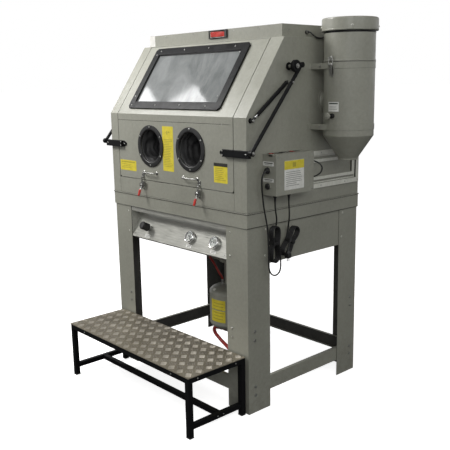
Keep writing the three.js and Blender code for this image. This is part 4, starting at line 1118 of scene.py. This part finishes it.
# painted shade: a black band round the drum just under the cap's rim, for the shadow the cap casts
head.turn([(132.8, 1989), (134, 1990), (134, 1999), (132.8, 2000)], axis, 112, BLACK)
head.turn([(133, 1844.6), (135.8, 1845), (135.8, 1847.4), (133, 1847.8)], axis, 112, BLACK)
head.rod((X, Y, 1986), (X, Y, 2062), 52, 56, DARK_STEEL, 2)
head.rod((X, Y, 1930), (X, Y, 1988), 6, 24, DARK_STEEL)
head.finish("head_shell", "cabinet", "powder_coat", ("collector_head",))

collector_trim = Shape(ZINC, INK, WHITE, GREY_INK, BLACK_PLASTIC, EDGE)
for i in range(4):
    angle = math.radians(90 * i - 48)
    out = Vector((math.cos(angle), math.sin(angle), 0))
    collector_trim.screw(place(Vector((X, Y, 2021)) + 146 * out, Vector((0, 0, 1)).cross(out),
                               (0, 0, 1)), 6, EDGE)
for z in STRAP_Z:
    for y in (484, 728):
        collector_trim.bolt(on_right(y, z, 603.6), 4.6, ZINC)
    collector_trim.bolt(on_front(664, z, 476), 4.6, ZINC)
    collector_trim.bolt(place((664, 736, z), (-1, 0, 0), (0, 0, 1)), 4.6, ZINC)
# the catch on the head that the latch pulls down on
collector_trim.block((X - 17, 462, 1852), (X + 3, 473.5, 1856), 0.8, None, ZINC)
collector_trim.block((X - 17, 461, 1852), (X + 3, 463.6, 1874), 0.9, None, ZINC)
collector_trim.block((X - 17, 470.4, 1770), (X + 3, 473, 1822), 0.8, None, ZINC)
collector_trim.turn([(12, -13), (13, -12), (13, 0), (6.6, 0), (6.6, -13)],
                    on_front(X, SHAKER_Z, 473) @ Matrix.Translation((0, 0, 13)), 28, BLACK_PLASTIC)


def wrapped_label(shape, centre, radius, middle, span, low, high, material, thick=0.4):
    steps = 16
    grid = []
    for i in range(steps + 1):
        angle = middle + span * (i / steps - 0.5)
        way = Vector((math.cos(angle), math.sin(angle), 0))
        column = []
        for r, z in ((radius, low), (radius, high), (radius + thick, high), (radius + thick, low)):
            column.append(shape.bm.verts.new(Vector((*centre, z)) + r * way))
        grid.append(column)
    made = [shape.bm.faces.new(grid[0]), shape.bm.faces.new(grid[-1][::-1])]
    for one, two in zip(grid, grid[1:]):
        made += [shape.bm.faces.new((one[k], two[k], two[(k + 1) % 4], one[(k + 1) % 4]))
                 for k in range(4)]
    for face in made:
        face.material_index = shape.index(material)


wrapped_label(collector_trim, (X, Y), 133.1, -1.55, 0.5, 1594, 1643, WHITE)
for z, low_angle, span in ((1632, -1.55, 0.42), (1616, -1.58, 0.34), (1605, -1.56, 0.38)):
    wrapped_label(collector_trim, (X, Y), 133.55, low_angle, span, z, z + (6 if z == 1632 else 3),
                  INK if z == 1632 else GREY_INK, 0.1)
for x in (X - 19.4, X + 5.4):
    collector_trim.rod((x, 459, 1828), (x, 459, 1868), 1.6, 12)
collector_trim.rod((X - 21, 459, 1867), (X + 7, 459, 1867), 1.6, 12, None, 0.4)
collector_trim.finish("collector_fixings", "cabinet", "bright_steel")

latch = Shape(ZINC)
latch.rod((X - 17, 461, LATCH_Z), (X + 3, 461, LATCH_Z), 6, 28, None, 0.8)
latch.slab([(-8, -46), (-5, -50), (5, -50), (8, -46), (8, 2), (-8, 2)], -2, 1.6,
           on_front(X - 7, LATCH_Z, 459), None, 0.5)
latch.finish("latch_lever", "latch", "chrome", ("collector_latch",))

shaker = Shape(COAT, CHROME)
shaker.turn([(0, 0), (15, 0), (17, 1.6), (17, 8), (15.4, 10), (8, 11), (7, 14), (0, 14)],
            place((X, 433, SHAKER_Z), (1, 0, 0), (0, 0, -1)) @ Matrix.Rotation(math.pi, 4, "X"), 40,
            COAT)
shaker.rod((X, 430, SHAKER_Z), (X, 502, SHAKER_Z), 5, 24, CHROME)
shaker.finish("shaker_pull", "shaker", "powder_coat", ("shaker_knob",))

# ------------------------------------------------------------------ pressure vessel and hoses
PX, PY = -12.0, 455.0
stand = on_top(PX, PY)
profile = [(0, 218), (28, 218), (30, 220), (30, 236)]
for k in range(1, 9):
    angle = math.radians(70 * (1 - k / 9))
    profile.append((145 * math.cos(angle), 275 - 42 * math.sin(angle) / math.sin(math.radians(70))))
profile += [(145, 276), (146.6, 279), (146.8, 283), (145, 287), (145, 372), (146.2, 374), (146.2, 377),
            (145, 379), (145, 463), (146.8, 467), (146.6, 471), (145, 474)]
for k in range(1, 10):
    angle = math.radians(70 * k / 9)
    profile.append((145 * math.cos(angle), 473 + 42 * math.sin(angle) / math.sin(math.radians(70))))
profile += [(52, 515), (48, 519), (48, 660), (51, 663), (77, 663.7), (78, 665), (78, 671), (79, 672),
            (79, 678), (78, 679), (78, 684), (77, 684.7), (0, 684.7)]
pot = Shape(COAT, ZINC, BLACK)
pot.turn(profile, stand, 96)
for i in range(8):
    angle = math.pi * i / 4 + 0.3
    pot.bolt(place((PX + 66 * math.cos(angle), PY + 66 * math.sin(angle), 663.7), (1, 0, 0),
                   (0, -1, 0)), 5, ZINC)
pot.rod((PX - 58, PY - 30, 492), (PX - 58, PY - 30, 523), 11, 6, ZINC, 1)
pot.rod((PX + 62, PY - 40, 492), (PX + 62, PY - 40, 530), 12, 6, ZINC, 1)
pot.rod((PX + 62, PY - 40, 528), (PX + 62, PY - 40, 546), 16, 32, BLACK, 2)
pot.finish("vessel", "cabinet", "powder_coat", ("pressure_pot",))

pot_label = Shape(YELLOW, FADED_INK, WHITE_PLASTIC)
wrapped_label(pot_label, (PX, PY), 145.3, -1.456, 0.78, 300, 442, YELLOW)
for i in range(6):
    wrapped_label(pot_label, (PX, PY), 145.75, -1.456 + 0.02 * (i % 3), 0.56 - 0.05 * (i % 2),
                  318 + 20 * i, 323 + 20 * i, FADED_INK, 0.12)
pot_label.rod((PX - 30, PY - 108, 470), (PX - 30, PY - 126, 500), 9, 24, WHITE_PLASTIC, 2)
pot_label.finish("vessel_label", "cabinet", "powder_coat")

blast_line = through([(-42, 440, 205), (-90, 418, 212), (-130, 402, 206), (-124, 398, 180),
                      (-66, 392, 148), (20, 372, 128), (140, 320, 112), (290, 240, 108),
                      (420, 160, 122), (500, 110, 190), (522, 90, 320), (524, 88, 560), (522, 86, 780),
                      (520, 86, 1003)], 6)
blast = Shape(HOSE, ZINC)
blast.tube(blast_line, 11, 24, HOSE)
blast.rod(blast_line[0] + Vector((14, 6, -2)), blast_line[5], 13.5, 28, ZINC, 1.5)
blast.rod(blast_line[7], blast_line[9], 14, 8, ZINC, 1)
blast.rod((522, 86, 960), (520.4, 86, 1003), 14.5, 28, ZINC, 1.5)
blast.turn([(11, 0), (13.2, 0), (13.2, 9), (11, 9)], on_top(521.4, 86, 930), 28, ZINC)
blast.finish("blast_line", "cabinet", "red_rubber", ("blast_hose",))

air_line = through([(-70, 425, 524), (-70.5, 424, 545), (-84, 404, 590), (-92, 380, 640),
                    (-80, 338, 690), (-30, 286, 730), (70, 226, 772), (180, 168, 814), (272, 108, 852),
                    (312, 66, 878), (320, 46, 884)], 5)
air = Shape(HOSE, ZINC)
air.tube(air_line, 7, 20, HOSE)
air.rod(air_line[0], air_line[3], 9, 6, ZINC, 0.8)
air.rod(air_line[-4], air_line[-1], 9, 6, ZINC, 0.8)
air.finish("air_line", "cabinet", "red_rubber", ("pot_air_hose",))

gun = Shape(BRUSHED, RUBBER)
z = 1122
gun.turn([(0, 0), (9, 0), (12, 6), (12, 88), (16, 94), (20, 100), (20, 140), (17, 146), (14, 150),
          (14, 290), (11, 294), (0, 294)], place((40, 470, z), (1, 0, 0), (0, 0, -1))
         @ Matrix.Rotation(math.pi, 4, "X") @ Matrix.Translation((0, 0, -294)), 36, BRUSHED)
gun.rod((40, 628, z), (40, 700, z), 20.4, 36, RUBBER, 2)
gun.finish("gun", "cabinet", "bright_steel", ("blast_gun",))

# ------------------------------------------------------------------ gauges and regulator
for name, x, needle in (("pressure_gauge", 107, -50), ("pot_gauge", 315, 28)):
    face = on_panel(x, 70)
    gauge = Shape(CHROME, WHITE, INK, DIAL_RED, LENS)
    gauge.turn([(0, 1), (31, 1), (31, 6), (33, 7), (34, 9), (34, 20), (33.4, 22), (31.6, 23.6),
                (30.4, 23.4), (29.6, 21.6), (29.6, 17), (0, 17)], face, 72, CHROME)
    gauge.turn([(0, 16.8), (29.5, 16.8), (29.5, 17.6), (0, 17.6)], face, 64, WHITE)
    for i in range(31):
        angle = math.radians(225 - 270 * i / 30)
        long = 5.5 if i % 5 == 0 else 3
        at = face @ Matrix.Rotation(angle, 4, "Z")
        gauge.block((26 - long, -0.35 if i % 5 else -0.6, 17.5), (26, 0.35 if i % 5 else 0.6, 17.75), 0,
                    at, INK)
    for i in range(9):
        at = face @ Matrix.Rotation(math.radians(-12 - i * 4), 4, "Z")
        gauge.block((26.6, -1, 17.5), (28.2, 1, 17.72), 0, at, DIAL_RED)
    at = face @ Matrix.Rotation(math.radians(90 - needle), 4, "Z")
    gauge.slab([(-7, -1.2), (20, -0.35), (22, 0), (20, 0.35), (-7, 1.2)], 18.4, 18.9, at, INK)
    gauge.turn([(0, 17.6), (2.6, 17.6), (2.6, 19.4), (1.8, 20), (0, 20)], face, 24, INK)
    gauge.turn([(0, 20.8), (30, 20.8), (30, 21.6), (0, 22.4)], face, 64, LENS)
    gauge.finish(name + "_finished", "cabinet", "chrome", (name,))

knob = Shape(BLACK_PLASTIC, ZINC)
face = on_panel(-285, 66)
knob.turn([(0, 1), (17, 1), (17, 4), (15, 5), (15, 18), (0, 18)], face, 40, ZINC)


def fluted(angle, height):
    return 1 - (0.045 if height > 23 else 0) * max(0, math.cos(18 * angle)) ** 3


knob.turn([(0, 18), (22.5, 18), (24, 20), (24, 24), (23.6, 26), (24, 62), (23, 66), (19, 70),
           (12, 70.6), (0, 70.2)], face, 144, BLACK_PLASTIC, fluted)
knob.finish("regulator_grip", "regulator", "black_plastic", ("regulator_knob",))

# ------------------------------------------------------------------ switches, sockets and short leads
ROCKER_Y = (136, 212, 290)
lamp_switch = Shape(RED)
bezel = Shape(BLACK_PLASTIC)
for x in (7.5, 149.5):
    bezel.block((x - 4.5, 286.4, 1994), (x + 4.5, 296, 2040), 1.4)
bezel.block((12, 286.4, 1994), (145, 296, 2000), 1.4)
bezel.block((12, 286.4, 2034), (145, 296, 2040), 1.4)
bezel.block((133.5, 288, 2000), (146, 296, 2034), 0.8)
bezel.finish("lamp_switch_bezel", "cabinet", "black_plastic")


lamp_at = on_front(78, 2017, 291)


def rocker(shape, at, length, width, rise, material):
    half = length / 2
    outline = [(-half, -5), (-half, rise - 0.6), (-half + 0.8, rise), (-half * 0.5, rise * 0.42 + 0.2),
               (0, 0.7), (half * 0.5, -rise * 0.45), (half - 0.8, -rise), (half, -rise - 0.6),
               (half, -5 - rise), (0, -8.6)]
    turned = at @ Matrix.Rotation(math.pi / 2, 4, "X")
    shape.slab(outline[::-1], -width / 2, width / 2, turned, material, 0.7)


rocker(lamp_switch, lamp_at, 107, 27.4, 7.2, RED)
for dx in (-26, 26):
    lamp_switch.block((dx - 1, -6, 0.5 - dx * 0.14), (dx + 1, 6, 1.3 - dx * 0.14), 0.3,
                      lamp_at, RED)
lamp_switch.finish("lamp_switch", "light_switch", "red_plastic", ("light_rocker",))

for i, (y, material) in enumerate(zip(ROCKER_Y, (RED, BLACK_PLASTIC, RED))):
    shape = Shape(material, WHITE)
    at = place((655, y, 1397), (0, 1, 0), (-1, 0, 0))
    rocker(shape, at, 47.6, 21.4, 3.8, material)
    shape.block((-17, -4, 2.6), (-15.6, 4, 3.6), 0.2, at, WHITE)
    shape.finish("power_switch_%d_cap" % (i + 1), "power_switch_%d" % (i + 1),
                 "black_plastic" if i == 1 else "red_plastic", ("power_rocker_%d" % (i + 1),))

fittings = Shape(BLACK_PLASTIC, CORD_SKIN)
for y in ROCKER_Y:
    for sx in (-1, 1):
        fittings.block((655 + sx * 14.6 - 1.7, y - 29, 1396.6), (655 + sx * 14.6 + 1.7, y + 29, 1398.6),
                       0.8)
        fittings.block((640.6, y + sx * 27.8 - 1.2, 1396.6), (669.4, y + sx * 27.8 + 1.2, 1398.6), 0.6)
fittings.turn([(0, 0), (15, 0), (16, 1), (16, 6), (14, 9), (9, 9.6), (8.4, 6), (0, 6)],
              on_front(643, 1233, 107), 36)
for y in (156, 260):
    fittings.turn([(0, 0), (11, 0), (11, 6), (9.4, 8), (9.4, 15), (8, 16.4), (0, 16.4)],
                  place((645, y, 1185), (1, 0, 0), (0, -1, 0)), 12)
fittings.turn([(0, 0), (11, 0), (11, 5), (9, 8), (9, 13), (7, 14.6), (0, 14.6)],
              on_right(481, 2003, 565), 12)
lead = through([(576, 481, 2003), (592, 482, 2001), (604, 488, 1988), (612, 508, 1975),
                (617, 540, 1972), (619, 580, 1981), (617, 640, 1992), (612, 700, 1990),
                (606, 750, 1968), (603, 775, 1925), (603, 785, 1860), (603, 786, 1815)], 6)
fittings.tube(lead, 4, 12, CORD_SKIN)
fittings.turn([(0, -2), (9, -2), (9, 3), (7, 5), (0, 5)], on_right(786, 1812, 603), 20)
for z in (1340, 1247):
    fittings.turn([(0, 0), (9.5, 0), (9.5, 4), (7.4, 6), (7.4, 11), (5.4, 12.4), (0, 12.4)],
                  on_back(640, z, 400), 12)
loop = through([(640, 408, 1340), (642, 424, 1339), (656, 446, 1334), (678, 464, 1320),
                (692, 470, 1298), (686, 464, 1272), (664, 446, 1253), (646, 426, 1247.5),
                (640, 408, 1247)], 5)
fittings.tube(loop, 4, 12, CORD_SKIN)
fittings.rod((660, 399, 1298), (660, 408, 1298), 6, 20, None, 1)
fittings.finish("electric_fittings", "cabinet", "black_plastic")

lamp = Shape(LAMP, WHITE_PLASTIC, CHROME)
lamp.rod((-424, 445, 2007), (424, 445, 2007), 13, 32, LAMP, 2)
for side in (-1, 1):
    lamp.rod((side * 424, 445, 2007), (side * 437, 445, 2007), 13.4, 32, CHROME, 1)
    lamp.block((min(side * 436, side * 452), 431, 1991), (max(side * 436, side * 452), 459, 2038.6), 2,
               None, WHITE_PLASTIC)
lamp.finish("lamp", "cabinet", "lamp_glass", ("lamp_tube",))

# the lamp box's end cap in pale plastic: partly its own paler colour, partly a painted highlight for the
# reflection on it
cap = Shape(WHITE_PLASTIC)
cap.block((-566.2, 294.2, 1977), (-512, 296, 2040), 0.6)
cap.block((-566.2, 294.2, 2040), (-512, 691, 2042.2), 0.6)
cap.finish("lamp_box_cap", "cabinet", "powder_coat")

# ------------------------------------------------------------------ room, light and view
floor = bpy.data.meshes.new("floor")
floor.from_pydata([(-200, -200, 0), (200, -200, 0), (200, 200, 0), (-200, 200, 0)], [], [(0, 1, 2, 3)])
ground = Paint("floor", Roughness=0.9, Emission_Strength=0.85)
ground.colour(ground.ramp(ground.noise(0.6, 2), (0.82, 0.82, 0.82), (0.88, 0.88, 0.88)))
ground.put(ground.shader, "Emission_Color", (1, 1, 1, 1))
floor.materials.append(ground.material)
floor_piece = bpy.data.objects.new("floor", floor)
bpy.context.scene.collection.objects.link(floor_piece)
floor_piece.visible_diffuse = False
floor_piece.visible_glossy = False


for name, spot, aim, size, power, colour in (
        ("key", (-2.2, -2.2, 3.6), (-0.3, 0, 1.3), (1.1, 1.1), 123, (1.0, 0.99, 0.97)),
        ("side", (4.2, -0.6, 3.4), (0.5, 0, 1.0), (2.2, 2.2), 34, (0.98, 1.0, 0.97)),
        ("fill", (3.5, -3.2, 3.3), (0.2, 0, 1.1), (1.6, 1.6), 46, (0.99, 1.0, 0.98)),
        ("overhead", (-0.4, -0.2, 4.4), (-0.2, 0, 1.2), (2.0, 2.0), 45, (1, 1, 1)),
        ("card_left", (-2.43, -0.9, 2.95), (-0.15, -0.2, 1.6), (0.48, 0.28), 4.6, (1, 1, 1)),
        ("card_right", (-1.87, -0.96, 3.09), (-0.15, -0.2, 1.6), (0.5, 0.28), 4.8, (1, 1, 1))):
    data = bpy.data.lights.new(name, "AREA")
    data.shape = "RECTANGLE"
    data.size, data.size_y = size
    data.energy = power
    data.color = colour
    light = bpy.data.objects.new(name, data)
    light.location = spot
    light.rotation_euler = (Vector(aim) - Vector(spot)).to_track_quat("-Z", "Y").to_euler()
    bpy.context.scene.collection.objects.link(light)
world = bpy.data.worlds.new("room")
world.use_nodes = True
sky = world.node_tree
way = sky.nodes.new("ShaderNodeTexCoord").outputs["Generated"]
height = sky.nodes.new("ShaderNodeSeparateXYZ")
sky.links.new(way, height.inputs[0])
shade = sky.nodes.new("ShaderNodeValToRGB")
half = sky.nodes.new("ShaderNodeMapRange")
half.inputs["From Min"].default_value = -1
sky.links.new(height.outputs["Z"], half.inputs["Value"])
sky.links.new(half.outputs[0], shade.inputs["Fac"])
for position, level in ((0.485, 0.06), (0.49, 1.0), (0.575, 1.0), (0.62, 0.16)):
    shade.color_ramp.elements.new(position).color = (level, level, level, 1)
shade.color_ramp.elements[0].color = (0.06, 0.06, 0.06, 1)
shade.color_ramp.elements[-1].color = (0.16, 0.16, 0.16, 1)
sky.links.new(shade.outputs["Color"], sky.nodes["Background"].inputs["Color"])
bpy.context.scene.world = world
bpy.context.scene.view_settings.view_transform = "Standard"
